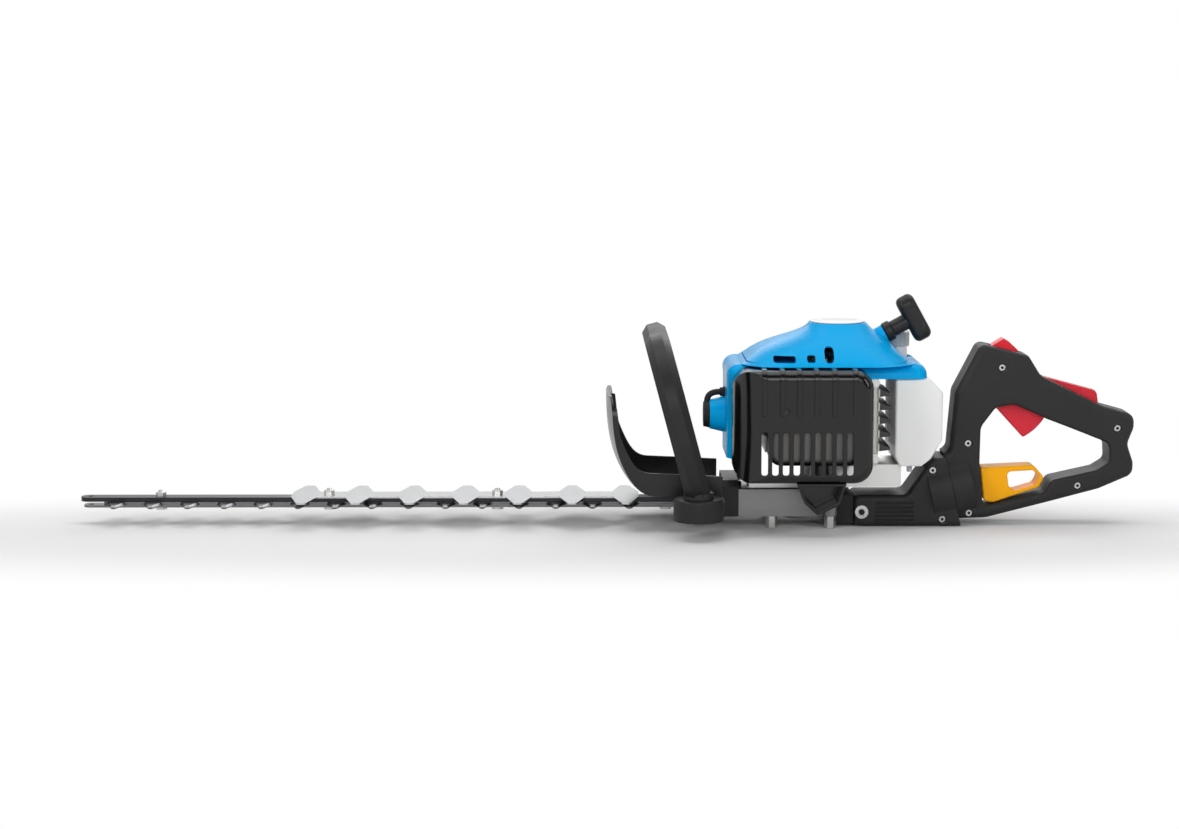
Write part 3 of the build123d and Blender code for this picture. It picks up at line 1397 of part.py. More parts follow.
with BuildPart() as engine_cover:
    with BuildSketch(Plane.XY.offset(skirt_low_z)):
        with Locations(((shroud_front_x + skirt_rear_x) / 2, (skirt_far - cover_back) / 2)):
            RectangleRounded(skirt_rear_x - shroud_front_x, skirt_far + cover_back, skirt_round)
    extrude(amount=hood_low_z - skirt_low_z)
    fillet(edges().group_by(Axis.Z)[-1], skirt_top_round)
    for z, front, rear, half in hood_sections:
        with BuildSketch(Plane((crank_x + (front + rear) / 2, 0, z))):
            RectangleRounded(rear - front, 2 * half, min(0.8 * half, 40.0))
    loft()
    with BuildSketch(rope_plane):
        Circle(rope_boss_r)
    extrude(amount=rope_boss_length)
    with BuildSketch(Plane.XY.offset(shroud_low_z)):
        with Locations((shroud_front_x + 2 * shroud_depth, 0)):
            RectangleRounded(4 * shroud_depth, 2 * cover_back, skirt_round)
            inner_half = cover_back - shroud_wall
            RectangleRounded(
                4 * shroud_depth - 2 * shroud_wall, 2 * inner_half, skirt_round - shroud_wall, mode=Mode.SUBTRACT
            )
        with Locations((shroud_front_x + 3 * shroud_depth, 0)):
            Rectangle(4 * shroud_depth, 3 * cover_back, mode=Mode.SUBTRACT)
    extrude(amount=skirt_low_z - shroud_low_z)
    with BuildSketch(Plane((shroud_front_x, 0, cylinder_z), x_dir=(0, 1, 0), z_dir=(-1, 0, 0))):
        Circle(18.0)
    extrude(amount=shroud_front_x - dome_front_x, taper=14)
    with BuildPart(mode=Mode.PRIVATE) as hood_room:
        for room_z, (z, front, rear, half) in zip(hood_room_zs, hood_sections):
            with BuildSketch(Plane((crank_x + (front + rear) / 2, 0, room_z))):
                room_half = half - hood_wall
                RectangleRounded(rear - front - 2 * hood_wall, 2 * room_half, min(0.8 * room_half, 40.0))
        loft()
    add(hood_room.part, mode=Mode.SUBTRACT)
    with BuildPart(mode=Mode.PRIVATE) as skirt_room:
        with BuildSketch(Plane.XY.offset(skirt_low_z)):
            with Locations(((shroud_front_x + skirt_rear_x) / 2, (skirt_far - cover_back) / 2)):
                RectangleRounded(
                    skirt_rear_x - shroud_front_x - 2 * shroud_wall,
                    skirt_far + cover_back - 2 * shroud_wall,
                    skirt_round - shroud_wall,
                )
        extrude(amount=hood_low_z - skirt_low_z - hood_wall)
        fillet(edges().group_by(Axis.Z)[-1], skirt_top_round - hood_wall)
    add(skirt_room.part, mode=Mode.SUBTRACT)
    with BuildSketch(Plane.XY.offset(skirt_low_z)):
        with Locations((crank_x, 0)):
            Circle(fan_opening_r)
    extrude(amount=hood_low_z - skirt_low_z + 4.0, mode=Mode.SUBTRACT)
    with BuildSketch(Plane.XY.offset(crankcase_top_z)):
        with Locations(stud_places):
            Circle(stud_r)
    extrude(amount=hood_low_z - crankcase_top_z)
    with BuildSketch(Plane((crank_x, 0, reel_low_z - 2.0))):
        Circle(reel_post_r)
    extrude(amount=hood_top_z - reel_low_z)
    with BuildSketch(rope_plane):
        Circle(rope_hole_r)
    extrude(amount=rope_boss_length, mode=Mode.SUBTRACT)
    with BuildSketch(Plane((dome_front_x, 0, cylinder_z), x_dir=(0, 1, 0), z_dir=(1, 0, 0))):
        Circle(9.5 + part_gap)
    extrude(amount=20.0, mode=Mode.SUBTRACT)
    with BuildSketch(Plane.XY.offset(skirt_low_z)):
        with Locations(neck_place):
            Circle(cap_r + 3.5)
    extrude(amount=40.0, mode=Mode.SUBTRACT)
    # windows on the near side
    with BuildSketch(Plane.XZ.offset(50.0)):
        with Locations((crank_x - 56.5, 169.0)):
            RectangleRounded(21.0, 6.0, 2.0)
        with Locations((crank_x - 31.0, 169.5)):
            RectangleRounded(8.0, 6.5, 2.0)
        with Locations((crank_x - 13.5, 173.0)):
            SlotOverall(15.0, 9.0, rotation=90)
    extrude(amount=30.0, mode=Mode.SUBTRACT)
save(engine_cover, "engine_cover")

# Pull starter: reel on its post, rope guide, rope and grip
reel_height = 10.0
reel_r = 25.0
reel_core_r = 18.0
with BuildPart() as starter_reel:
    with BuildSketch(Plane((crank_x, 0, reel_low_z))):
        Circle(reel_r)
    extrude(amount=reel_height)
    with BuildSketch(Plane((crank_x, 0, reel_low_z + 2.0))):
        Circle(reel_r + 1.0)
        Circle(reel_core_r, mode=Mode.SUBTRACT)
    extrude(amount=reel_height - 4.0, mode=Mode.SUBTRACT)
    with BuildSketch(Plane((crank_x, 0, reel_low_z))):
        Circle(reel_post_r + running_gap)
    extrude(amount=reel_height, mode=Mode.SUBTRACT)
save(starter_reel, "starter_reel")

guide_length = 9.0
with BuildPart() as rope_guide:
    with BuildSketch(rope_plane.offset(rope_boss_length)):
        Circle(rope_boss_r + 1.0)
        Circle(rope_hole_r, mode=Mode.SUBTRACT)
    extrude(amount=guide_length)
    chamfer(edges().filter_by(GeomType.CIRCLE).group_by(SortBy.RADIUS)[-1], 1.5)
save(rope_guide, "rope_guide")

rope_from = 10.0
grip_seat = rope_boss_length + guide_length
with BuildPart() as starter_rope:
    with BuildSketch(rope_plane.offset(rope_from)):
        Circle(rope_r)
    extrude(amount=grip_seat - rope_from)
save(starter_rope, "starter_rope")

grip_stem = 14.0
grip_stem_r = 8.0
grip_length = 48.0
grip_width = 20.0
grip_depth = 18.0
with BuildPart() as starter_grip:
    with BuildSketch(rope_plane.offset(grip_seat + grip_stem)):
        SlotOverall(grip_length, grip_width, rotation=90)
    extrude(amount=grip_depth)
    fillet(faces().sort_by(SortBy.AREA)[-2:].edges(), 6.0)
    with BuildSketch(rope_plane.offset(grip_seat)):
        Circle(grip_stem_r)
    extrude(amount=grip_stem + 2.0)
save(starter_grip, "starter_grip")

# Fuel tank behind the crankcase, with a filler neck and its cap
tank_front_x = crank_x + 53.0
tank_half = 44.0
tank_low_z = 62.0
neck_top_z = 172.0
cap_height = 14.0
cap_grooves = 16
with BuildPart() as fuel_tank:
    with BuildSketch(Plane.XZ.offset(-tank_half)) as tank_side:
        with BuildLine():
            Polyline(
                (tank_front_x, skirt_low_z),
                (tank_front_x, tank_low_z + 10.0),
                (tank_front_x + 5.0, tank_low_z),
                (tank_front_x + 26.0, tank_low_z),
                (tank_front_x + 35.0, tank_low_z + 7.0),
                (tank_front_x + 46.0, tank_low_z + 26.0),
                (tank_front_x + 46.0, skirt_low_z - 14.0),
                (tank_front_x + 33.0, skirt_low_z),
                close=True,
            )
        make_face()
        fillet(tank_side.vertices(), 3.0)
    extrude(amount=2 * tank_half)
    fillet(edges().group_by(Axis.Y)[0] + edges().group_by(Axis.Y)[-1], 2.5)
    with BuildSketch(Plane.XY.offset(skirt_low_z - 6.0)):
        with Locations(neck_place):
            Circle(neck_r)
    extrude(amount=neck_top_z - skirt_low_z + 6.0)
save(fuel_tank, "fuel_tank")

with BuildPart() as fuel_cap:
    with BuildSketch(Plane((*neck_place, neck_top_z))):
        Circle(cap_r)
        with PolarLocations(cap_r + 0.4, cap_grooves):
            Circle(1.1, mode=Mode.SUBTRACT)
    extrude(amount=cap_height)
save(fuel_cap, "fuel_cap")

# Carburettor on the far side of the crankcase, behind the air cleaner
intake_z = 106.0
carb_far = 76.0
bore_r = 8.0
with BuildPart() as carburettor:
    with BuildSketch(Plane.XZ.offset(-crankcase_half)):
        with Locations((crank_x, intake_z)):
            RectangleRounded(46.0, 36.0, 6.0)
            Circle(bore_r, mode=Mode.SUBTRACT)
    extrude(amount=-10.0)
    with BuildSketch(Plane.XZ.offset(-crankcase_half - 10.0)):
        with Locations((crank_x, intake_z)):
            RectangleRounded(36.0, 40.0, 4.0)
            Circle(bore_r, mode=Mode.SUBTRACT)
    extrude(amount=-(carb_far - crankcase_half - 10.0))
    with BuildSketch(Plane((crank_x + 6.0, (carb_far + crankcase_half + 10.0) / 2, intake_z - 24.0))):
        Circle(9.0)
    extrude(amount=6.0)
save(carburettor, "carburettor")

# Air cleaner: backplate with the choke pin, filter element, cover and knob
plate_far = 81.0
cleaner_front_x = crank_x - 46.0
cleaner_rear_x = crank_x + 42.0
cleaner_low_z = 70.0
cleaner_top_z = 142.0
cleaner_mid = ((cleaner_front_x + cleaner_rear_x) / 2, (cleaner_low_z + cleaner_top_z) / 2)
cleaner_size = (cleaner_rear_x - cleaner_front_x, cleaner_top_z - cleaner_low_z)
cleaner_far = 104.0
cleaner_wall = 2.5
choke_pivot = (cleaner_front_x - 8.0, 118.0)
choke_pin_r = 2.0
choke_thickness = 4.0
with BuildPart() as air_cleaner_plate:
    with BuildSketch(Plane.XZ.offset(-carb_far)):
        with Locations(cleaner_mid):
            RectangleRounded(*cleaner_size, 14.0)
        with Locations((choke_pivot[0] + 7.0, choke_pivot[1])):
            RectangleRounded(28.0, 16.0, 5.0)
        with Locations((crank_x, intake_z)):
            Circle(bore_r, mode=Mode.SUBTRACT)
    extrude(amount=-(plate_far - carb_far))
    with BuildSketch(Plane.XZ.offset(-plate_far)):
        with Locations(choke_pivot):
            Circle(choke_pin_r)
    extrude(amount=-(choke_thickness + 1.0))
save(air_cleaner_plate, "air_cleaner_plate")

with BuildPart() as air_filter:
    with BuildSketch(Plane.XZ.offset(-plate_far)):
        with Locations(cleaner_mid):
            RectangleRounded(cleaner_size[0] - 10.0, cleaner_size[1] - 10.0, 9.0)
    extrude(amount=-14.0)
save(air_filter, "air_filter")

with BuildPart() as air_cleaner_cover:
    with BuildSketch(Plane.XZ.offset(-plate_far)):
        with Locations(cleaner_mid):
            RectangleRounded(*cleaner_size, 14.0)
    extrude(amount=-(cleaner_far - plate_far))
    fillet(faces().sort_by(Axis.Y)[-1].edges(), 7.0)
    with BuildSketch(Plane.XZ.offset(-plate_far)):
        with Locations(cleaner_mid):
            RectangleRounded(cleaner_size[0] - 2 * cleaner_wall, cleaner_size[1] - 2 * cleaner_wall, 11.0)
    extrude(amount=-(cleaner_far - plate_far - 5.0), mode=Mode.SUBTRACT)
save(air_cleaner_cover, "air_cleaner_cover")

with BuildPart() as cleaner_knob:
    with BuildSketch(Plane.XZ.offset(-cleaner_far)):
        with Locations(cleaner_mid):
            Circle(10.0)
            with PolarLocations(10.6, 8):
                Circle(1.8, mode=Mode.SUBTRACT)
    extrude(amount=-9.0)
save(cleaner_knob, "cleaner_knob")

choke_arm = 22.0
with BuildPart() as choke_lever:
    with BuildSketch(Plane.XZ.offset(-plate_far - part_gap)):
        with Locations(choke_pivot):
            Circle(6.0)
            with Locations((-choke_arm / 2, 0)):
                SlotOverall(choke_arm + 6.0, 6.0)
            Circle(choke_pin_r + running_gap, mode=Mode.SUBTRACT)
    extrude(amount=-choke_thickness)
save(choke_lever, "choke_lever")
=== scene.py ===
import json
import math

import bmesh
import bpy
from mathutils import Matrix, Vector


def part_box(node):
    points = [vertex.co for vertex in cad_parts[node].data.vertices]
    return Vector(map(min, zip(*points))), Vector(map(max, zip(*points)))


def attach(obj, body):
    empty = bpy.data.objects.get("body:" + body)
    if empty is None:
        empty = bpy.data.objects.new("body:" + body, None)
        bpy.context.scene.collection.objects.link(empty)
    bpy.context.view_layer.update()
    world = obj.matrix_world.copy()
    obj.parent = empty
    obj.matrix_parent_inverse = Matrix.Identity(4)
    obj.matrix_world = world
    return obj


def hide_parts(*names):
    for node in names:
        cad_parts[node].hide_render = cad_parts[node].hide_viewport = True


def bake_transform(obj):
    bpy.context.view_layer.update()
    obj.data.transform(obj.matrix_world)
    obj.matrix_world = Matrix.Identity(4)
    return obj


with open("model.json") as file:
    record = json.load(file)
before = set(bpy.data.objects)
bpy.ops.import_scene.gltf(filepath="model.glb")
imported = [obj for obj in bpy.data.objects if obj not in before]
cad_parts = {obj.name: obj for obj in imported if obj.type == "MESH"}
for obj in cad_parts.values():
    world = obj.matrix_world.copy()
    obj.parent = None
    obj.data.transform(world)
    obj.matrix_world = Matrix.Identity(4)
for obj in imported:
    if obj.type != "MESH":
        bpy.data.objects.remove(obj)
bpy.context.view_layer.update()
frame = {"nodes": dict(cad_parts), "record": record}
nodes = frame["nodes"]
scene = bpy.context.scene
scene.view_settings.view_transform = "Standard"

CRANK_X = 0.227
CASE_RIB_START = 0.0385
SMOOTH_ANGLE = math.radians(35.0)
ROPE_TILT = math.radians(29.0)
ROPE_DIR = Vector((math.cos(ROPE_TILT), 0.0, math.sin(ROPE_TILT)))


# Shared surface effects

def new_group(name, inputs, outputs):
    """An empty shader node group with named sockets; returns the group, its input and its output node."""
    group = bpy.data.node_groups.new(name, "ShaderNodeTree")
    for label, kind, value in inputs:
        socket = group.interface.new_socket(label, in_out="INPUT", socket_type=kind)
        if value is not None:
            socket.default_value = value
    for label, kind in outputs:
        group.interface.new_socket(label, in_out="OUTPUT", socket_type=kind)
    return group, group.nodes.new("NodeGroupInput"), group.nodes.new("NodeGroupOutput")


def object_noise(tree, scale_socket, detail):
    """Noise in the piece's own coordinates, so that it moves with the piece."""
    place = tree.nodes.new("ShaderNodeTexCoord")
    noise = tree.nodes.new("ShaderNodeTexNoise")
    noise.inputs["Detail"].default_value = detail
    tree.links.new(place.outputs["Object"], noise.inputs["Vector"])
    tree.links.new(scale_socket, noise.inputs["Scale"])
    return noise


def spread(tree, source, low, high):
    """Maps the middle of a noise to the range from low to high."""
    remap = tree.nodes.new("ShaderNodeMapRange")
    remap.inputs["From Min"].default_value = 0.3
    remap.inputs["From Max"].default_value = 0.7
    tree.links.new(source, remap.inputs["Value"])
    tree.links.new(low, remap.inputs["To Min"])
    tree.links.new(high, remap.inputs["To Max"])
    return remap.outputs["Result"]


def make_handling_marks():
    """Uneven gloss from handling, and a slight drift of the colour."""
    group, given, out = new_group(
        "handling_marks",
        [
            ("Color", "NodeSocketColor", (0.5, 0.5, 0.5, 1.0)),
            ("Scale", "NodeSocketFloat", 30.0),
            ("Low", "NodeSocketFloat", 0.3),
            ("High", "NodeSocketFloat", 0.4),
            ("Tint", "NodeSocketFloat", 0.06),
        ],
        [("Color", "NodeSocketColor"), ("Roughness", "NodeSocketFloat")],
    )
    noise = object_noise(group, given.outputs["Scale"], 4.0)
    rough = spread(group, noise.outputs["Fac"], given.outputs["Low"], given.outputs["High"])
    group.links.new(rough, out.inputs["Roughness"])
    drift = group.nodes.new("ShaderNodeMixRGB")
    drift.blend_type = "SOFT_LIGHT"
    group.links.new(given.outputs["Tint"], drift.inputs["Fac"])
    group.links.new(given.outputs["Color"], drift.inputs["Color1"])
    group.links.new(noise.outputs["Fac"], drift.inputs["Color2"])
    group.links.new(drift.outputs["Color"], out.inputs["Color"])
    return group


def make_moulded_grain():
    """Height of the fine grain of moulded plastic or of a cast skin."""
    group, given, out = new_group(
        "moulded_grain",
        [("Scale", "NodeSocketFloat", 900.0), ("Coarse", "NodeSocketFloat", 0.3)],
        [("Height", "NodeSocketFloat")],
    )
    fine = object_noise(group, given.outputs["Scale"], 2.0)
    broad_scale = group.nodes.new("ShaderNodeMath")
    broad_scale.operation = "MULTIPLY"
    broad_scale.inputs[1].default_value = 0.2
    group.links.new(given.outputs["Scale"], broad_scale.inputs[0])
    broad = object_noise(group, broad_scale.outputs["Value"], 3.0)
    both = group.nodes.new("ShaderNodeMix")
    group.links.new(given.outputs["Coarse"], both.inputs["Factor"])
    group.links.new(fine.outputs["Fac"], both.inputs["A"])
    group.links.new(broad.outputs["Fac"], both.inputs["B"])
    group.links.new(both.outputs["Result"], out.inputs["Height"])
    return group


def make_grinding_lines():
    """Fine lines that a grinding wheel leaves along X, as a height and as uneven gloss."""
    group, given, out = new_group(
        "grinding_lines",
        [
            ("Density", "NodeSocketFloat", 900.0),
            ("Low", "NodeSocketFloat", 0.2),
            ("High", "NodeSocketFloat", 0.4),
        ],
        [("Height", "NodeSocketFloat"), ("Roughness", "NodeSocketFloat")],
    )
    place = group.nodes.new("ShaderNodeTexCoord")
    stretch = group.nodes.new("ShaderNodeMapping")
    stretch.inputs["Scale"].default_value = (0.02, 1.0, 1.0)
    noise = group.nodes.new("ShaderNodeTexNoise")
    noise.inputs["Detail"].default_value = 3.0
    group.links.new(place.outputs["Object"], stretch.inputs["Vector"])
    group.links.new(stretch.outputs["Vector"], noise.inputs["Vector"])
    group.links.new(given.outputs["Density"], noise.inputs["Scale"])
    group.links.new(noise.outputs["Fac"], out.inputs["Height"])
    rough = spread(group, noise.outputs["Fac"], given.outputs["Low"], given.outputs["High"])
    group.links.new(rough, out.inputs["Roughness"])
    return group


handling_marks = make_handling_marks()
moulded_grain = make_moulded_grain()
grinding_lines = make_grinding_lines()


# Finishes

def place_group(tree, group, **values):
    """Places a shared effect in a material with its own values."""
    node = tree.nodes.new("ShaderNodeGroup")
    node.node_tree = group
    for label, value in values.items():
        node.inputs[label].default_value = value
    return node


def new_finish(name, color, low, high, metallic=0.0, tint=0.06, marks=30.0, edge=0.0004):
    """A finish with handling marks and softened edges; returns material, tree, shader and edge normal."""
    finish = bpy.data.materials.new(name)
    finish.use_nodes = True
    tree = finish.node_tree
    shader = tree.nodes["Principled BSDF"]
    shader.inputs["Metallic"].default_value = metallic
    look = place_group(tree, handling_marks, Color=(*color, 1.0), Scale=marks, Low=low, High=high, Tint=tint)
    tree.links.new(look.outputs["Color"], shader.inputs["Base Color"])
    tree.links.new(look.outputs["Roughness"], shader.inputs["Roughness"])
    soft_edge = tree.nodes.new("ShaderNodeBevel")
    soft_edge.samples = 4
    soft_edge.inputs["Radius"].default_value = edge
    tree.links.new(soft_edge.outputs["Normal"], shader.inputs["Normal"])
    return finish, tree, shader, soft_edge.outputs["Normal"]


def raise_surface(tree, shader, height, normal, strength, depth):
    """Adds a height to the normal of a finish."""
    bump = tree.nodes.new("ShaderNodeBump")
    bump.inputs["Strength"].default_value = strength
    bump.inputs["Distance"].default_value = depth
    tree.links.new(height, bump.inputs["Height"])
    tree.links.new(normal, bump.inputs["Normal"])
    tree.links.new(bump.outputs["Normal"], shader.inputs["Normal"])


def moulded(
    name, color, low, high, grain=900.0, strength=0.25, coarse=0.3, gloss=0.3, tint=0.06, edge=0.0004
):
    """Moulded plastic or rubber with a fine grain."""
    finish, tree, shader, normal = new_finish(name, color, low, high, tint=tint, edge=edge)
    skin = place_group(tree, moulded_grain, Scale=grain, Coarse=coarse)
    raise_surface(tree, shader, skin.outputs["Height"], normal, strength, 0.0004)
    shader.inputs["Specular IOR Level"].default_value = gloss
    return finish


def cast(name, color, low, high, grain=420.0, strength=0.35):
    """Cast or blasted metal."""
    finish, tree, shader, normal = new_finish(name, color, low, high, metallic=1.0, tint=0.2)
    skin = place_group(tree, moulded_grain, Scale=grain, Coarse=0.5)
    raise_surface(tree, shader, skin.outputs["Height"], normal, strength, 0.0005)
    return finish


def ground(name, color, low, high, density=900.0, strength=0.12):
    """Ground steel with fine lines along the blade."""
    finish, tree, shader, normal = new_finish(name, color, low, high, metallic=1.0, tint=0.15)
    lines = place_group(tree, grinding_lines, Density=density, Low=low, High=high)
    tree.links.new(lines.outputs["Roughness"], shader.inputs["Roughness"])
    raise_surface(tree, shader, lines.outputs["Height"], normal, strength, 0.0003)
    return finish


def tank_finish(name):
    """Milky blow-moulded plastic that lets some light through."""
    finish, tree, shader, normal = new_finish(name, (0.84, 0.85, 0.84), 0.3, 0.4, tint=0.03)
    shader.inputs["Subsurface Weight"].default_value = 0.35
    shader.inputs["Subsurface Radius"].default_value = (0.012, 0.012, 0.011)
    skin = place_group(tree, moulded_grain, Scale=260.0, Coarse=0.6)
    raise_surface(tree, shader, skin.outputs["Height"], normal, 0.12, 0.0004)
    return finish


def case_finish(name, rib_start):
    """Pale cast case whose ribs behind a given X are coloured near black: painted shade standing in for the
    shade between the ribs.
    """
    finish, tree, shader, normal = new_finish(name, (0.66, 0.65, 0.6), 0.4, 0.52, tint=0.15)
    skin = place_group(tree, moulded_grain, Scale=420.0, Coarse=0.5)
    raise_surface(tree, shader, skin.outputs["Height"], normal, 0.3, 0.0005)
    look = shader.inputs["Base Color"].links[0].from_socket
    place = tree.nodes.new("ShaderNodeTexCoord")
    axes = tree.nodes.new("ShaderNodeSeparateXYZ")
    behind = tree.nodes.new("ShaderNodeMath")
    behind.operation = "GREATER_THAN"
    behind.inputs[1].default_value = rib_start
    tree.links.new(place.outputs["Object"], axes.inputs["Vector"])
    tree.links.new(axes.outputs["X"], behind.inputs[0])
    # Painted shade: the ribs behind rib_start take a near-black colour in place of the shade that falls
    # between them.
    rib_shade = tree.nodes.new("ShaderNodeMixRGB")
    rib_shade.inputs["Color2"].default_value = (0.035, 0.035, 0.034, 1.0)
    tree.links.new(behind.outputs["Value"], rib_shade.inputs["Fac"])
    tree.links.new(look, rib_shade.inputs["Color1"])
    tree.links.new(rib_shade.outputs["Color"], shader.inputs["Base Color"])
    return finish


finishes = {
    "blade_steel": ground("blade_steel", (0.2, 0.2, 0.21), 0.22, 0.34),
    "bar_steel": ground("bar_steel", (0.045, 0.045, 0.05), 0.24, 0.36),
    "comb_steel": ground("comb_steel", (0.58, 0.59, 0.6), 0.12, 0.22, density=1200.0, strength=0.06),
    "machined_steel": ground("machined_steel", (0.52, 0.52, 0.53), 0.25, 0.4),
    "zinc_fasteners": cast("zinc_fasteners", (0.62, 0.62, 0.6), 0.25, 0.4, grain=900.0, strength=0.12),
    "grey_casting": cast("grey_casting", (0.24, 0.24, 0.245), 0.38, 0.52),
    "bare_aluminium": cast("bare_aluminium", (0.66, 0.66, 0.65), 0.34, 0.48),
    "black_plastic": moulded("black_plastic", (0.011, 0.011, 0.012), 0.36, 0.48),
    "black_grip": moulded("black_grip", (0.012, 0.012, 0.013), 0.44, 0.56, grain=1100.0, strength=0.4),
    "black_gloss": moulded(
        "black_gloss", (0.008, 0.008, 0.009), 0.24, 0.34, grain=500.0, strength=0.06, coarse=0.6, gloss=0.4,
    ),
    "black_paint": moulded(
        "black_paint", (0.004, 0.004, 0.0045), 0.1, 0.17,
        grain=240.0, strength=0.04, coarse=0.7, gloss=0.42, edge=0.0018,
    ),
    "muffler_steel": cast("muffler_steel", (0.13, 0.127, 0.122), 0.4, 0.6),
    "charcoal_plastic": moulded(
        "charcoal_plastic", (0.015, 0.015, 0.016), 0.46, 0.58, grain=1200.0, strength=0.45,
    ),
    "crimson_plastic": moulded("crimson_plastic", (0.66, 0.016, 0.035), 0.34, 0.46, strength=0.18),
    "red_plastic": moulded("red_plastic", (0.8, 0.012, 0.03), 0.3, 0.42, strength=0.15),
    "orange_plastic": moulded("orange_plastic", (0.98, 0.43, 0.0), 0.32, 0.44, strength=0.15, gloss=0.2),
    "blue_plastic": moulded(
        "blue_plastic", (0.0, 0.385, 0.8), 0.22, 0.32,
        grain=420.0, strength=0.05, coarse=0.6, gloss=0.08, tint=0.03,
    ),
    "tank_plastic": tank_finish("tank_plastic"),
    "cap_plastic": moulded("cap_plastic", (0.5, 0.51, 0.52), 0.36, 0.48),
    "rubber_parts": moulded("rubber_parts", (0.012, 0.012, 0.012), 0.55, 0.7, grain=700.0, strength=0.4),
    "rope_fibre": moulded("rope_fibre", (0.7, 0.7, 0.67), 0.7, 0.85, grain=600.0, strength=0.6),
    "filter_felt": moulded("filter_felt", (0.6, 0.55, 0.42), 0.8, 0.95, grain=500.0, strength=0.8),
}
white_face = moulded("white_face", (0.76, 0.77, 0.78), 0.3, 0.4, strength=0.08)
# Near-black finish used as painted shade inside screw sockets.
socket_shade = moulded("socket_shade", (0.01, 0.01, 0.011), 0.6, 0.75)


for subpart in frame["record"]["subparts"]:
    piece = nodes[subpart["node"]]
    piece.data.materials.clear()
    piece.data.materials.append(finishes[subpart["material_slot"]])
# The crankcase's rear ribs get painted shade.
nodes["crankcase"].data.materials[0] = case_finish("case_rib_shade", CRANK_X + CASE_RIB_START)


# Added pieces

def add_piece(name, mesh_work, finish, body):
    """Turns a bmesh into a piece that rides on a body."""
    mesh = bpy.data.meshes.new(name)
    bmesh.ops.recalc_face_normals(mesh_work, faces=mesh_work.faces)
    mesh_work.to_mesh(mesh)
    mesh_work.free()
    mesh.materials.append(finish)
    mesh.shade_smooth()
    mesh.set_sharp_from_angle(angle=SMOOTH_ANGLE)
    piece = bpy.data.objects.new(name, mesh)
    scene.collection.objects.link(piece)
    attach(piece, body)
    return piece


def turned(profile, origin, axis, steps):
    """A closed turned shape: profile is (radius, height) from the axis out and back to it."""
    work = bmesh.new()
    turn = Vector((0.0, 0.0, 1.0)).rotation_difference(axis).to_matrix()
    rings = []
    for radius, height in profile:
        ring = []
        for i in range(steps):
            angle = 2.0 * math.pi * i / steps
            offset = Vector((radius * math.cos(angle), radius * math.sin(angle), height))
            ring.append(work.verts.new(origin + turn @ offset))
        rings.append(ring)
    for lower, upper in zip(rings, rings[1:]):
        for i in range(steps):
            work.faces.new((lower[i], lower[(i + 1) % steps], upper[(i + 1) % steps], upper[i]))
    work.faces.new(rings[0])
    work.faces.new(rings[-1])
    return work


def loose_boxes(node):
    """Low and high corner of each separate solid of a CAD node."""
    work = bmesh.new()
    work.from_mesh(nodes[node].data)
    bmesh.ops.remove_doubles(work, verts=work.verts, dist=1e-6)
    seen = set()
    boxes = []
    for start in work.verts:
        if start in seen:
            continue
        stack = [start]
        seen.add(start)
        points = []
        while stack:
            vert = stack.pop()
            points.append(vert.co.copy())
            for edge in vert.link_edges:
                other = edge.other_vert(vert)
                if other not in seen:
                    seen.add(other)
                    stack.append(other)
        low = Vector([min(p[k] for p in points) for k in range(3)])
        high = Vector([max(p[k] for p in points) for k in range(3)])
        boxes.append((low, high))
    work.free()
    return boxes


# Bare white disc on top of the hood, with a rounded rim and a shallow ring
hood_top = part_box("engine_cover")[1].z
disc_profile = [
    (0.0005, 0.0001), (0.0255, 0.0001), (0.0262, 0.0006), (0.0258, 0.0012), (0.0230, 0.0013),
    (0.0224, 0.0009), (0.0216, 0.0009), (0.0210, 0.0012), (0.0005, 0.0012),
]
add_piece(
    "top_disc",
    turned(disc_profile, Vector((CRANK_X, 0.0, hood_top)), Vector((0, 0, 1)), 64),
    white_face, "machine",
)

# Painted shade: near-black discs on the screw heads that face the near side stand in for the shade inside
# their socket recesses
screw_sockets = {
    "handle_screws": ("rear_handle", 0.0016),
    "base_screws": ("machine", 0.0016),
    "base_bolt": ("machine", 0.0030),
}
for node, (body, reach) in screw_sockets.items():
    socket_shade_profile = [(0.0002, -0.0002), (reach, -0.0002), (reach, 0.00012), (0.0002, 0.00012)]
    for index, (low, high) in enumerate(loose_boxes(node)):
        middle = (low + high) / 2
        seat = Vector((middle.x, low.y, middle.z))
        add_piece(
            f"{node}_socket_shade_{index}", turned(socket_shade_profile, seat, Vector((0, -1, 0)), 6),
            socket_shade, body,
        )

# Ignition lead: a rubber grommet in the shroud and the short lead to the plug cap
shroud_front = CRANK_X - 0.110
lead_height = 0.1300
grommet_profile = [
    (0.0003, -0.0005), (0.0052, -0.0005), (0.0052, 0.0012), (0.0044, 0.0018), (0.0044, 0.0042),
    (0.0038, 0.0050), (0.0003, 0.0050),
]
add_piece(
    "lead_grommet",
    turned(grommet_profile, Vector((shroud_front, 0.0, lead_height)), Vector((-1, 0, 0)), 32),
    finishes["rubber_parts"], "machine",
)
lead_curve = bpy.data.curves.new("ignition_lead", "CURVE")
lead_curve.dimensions = "3D"
lead_curve.bevel_depth = 0.0030
lead_curve.bevel_resolution = 5
lead_curve.use_fill_caps = True
lead_line = lead_curve.splines.new("BEZIER")
lead_line.bezier_points.add(1)
grommet_end_x = shroud_front - 0.003
plug_end_x = shroud_front - 0.0175
lead_points = [
    ((grommet_end_x, lead_height), (grommet_end_x + 0.008, lead_height), (grommet_end_x - 0.008, lead_height)),
    ((plug_end_x, 0.1195), (plug_end_x, 0.1290), (plug_end_x, 0.1265)),
]
for point, (middle, before, after) in zip(lead_line.bezier_points, lead_points):
    point.co = (middle[0], 0.0, middle[1])
    point.handle_left = (before[0], 0.0, before[1])
    point.handle_right = (after[0], 0.0, after[1])
lead_curve.materials.append(finishes["rubber_parts"])
ignition_lead = bpy.data.objects.new("ignition_lead", lead_curve)
scene.collection.objects.link(ignition_lead)
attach(ignition_lead, "machine")

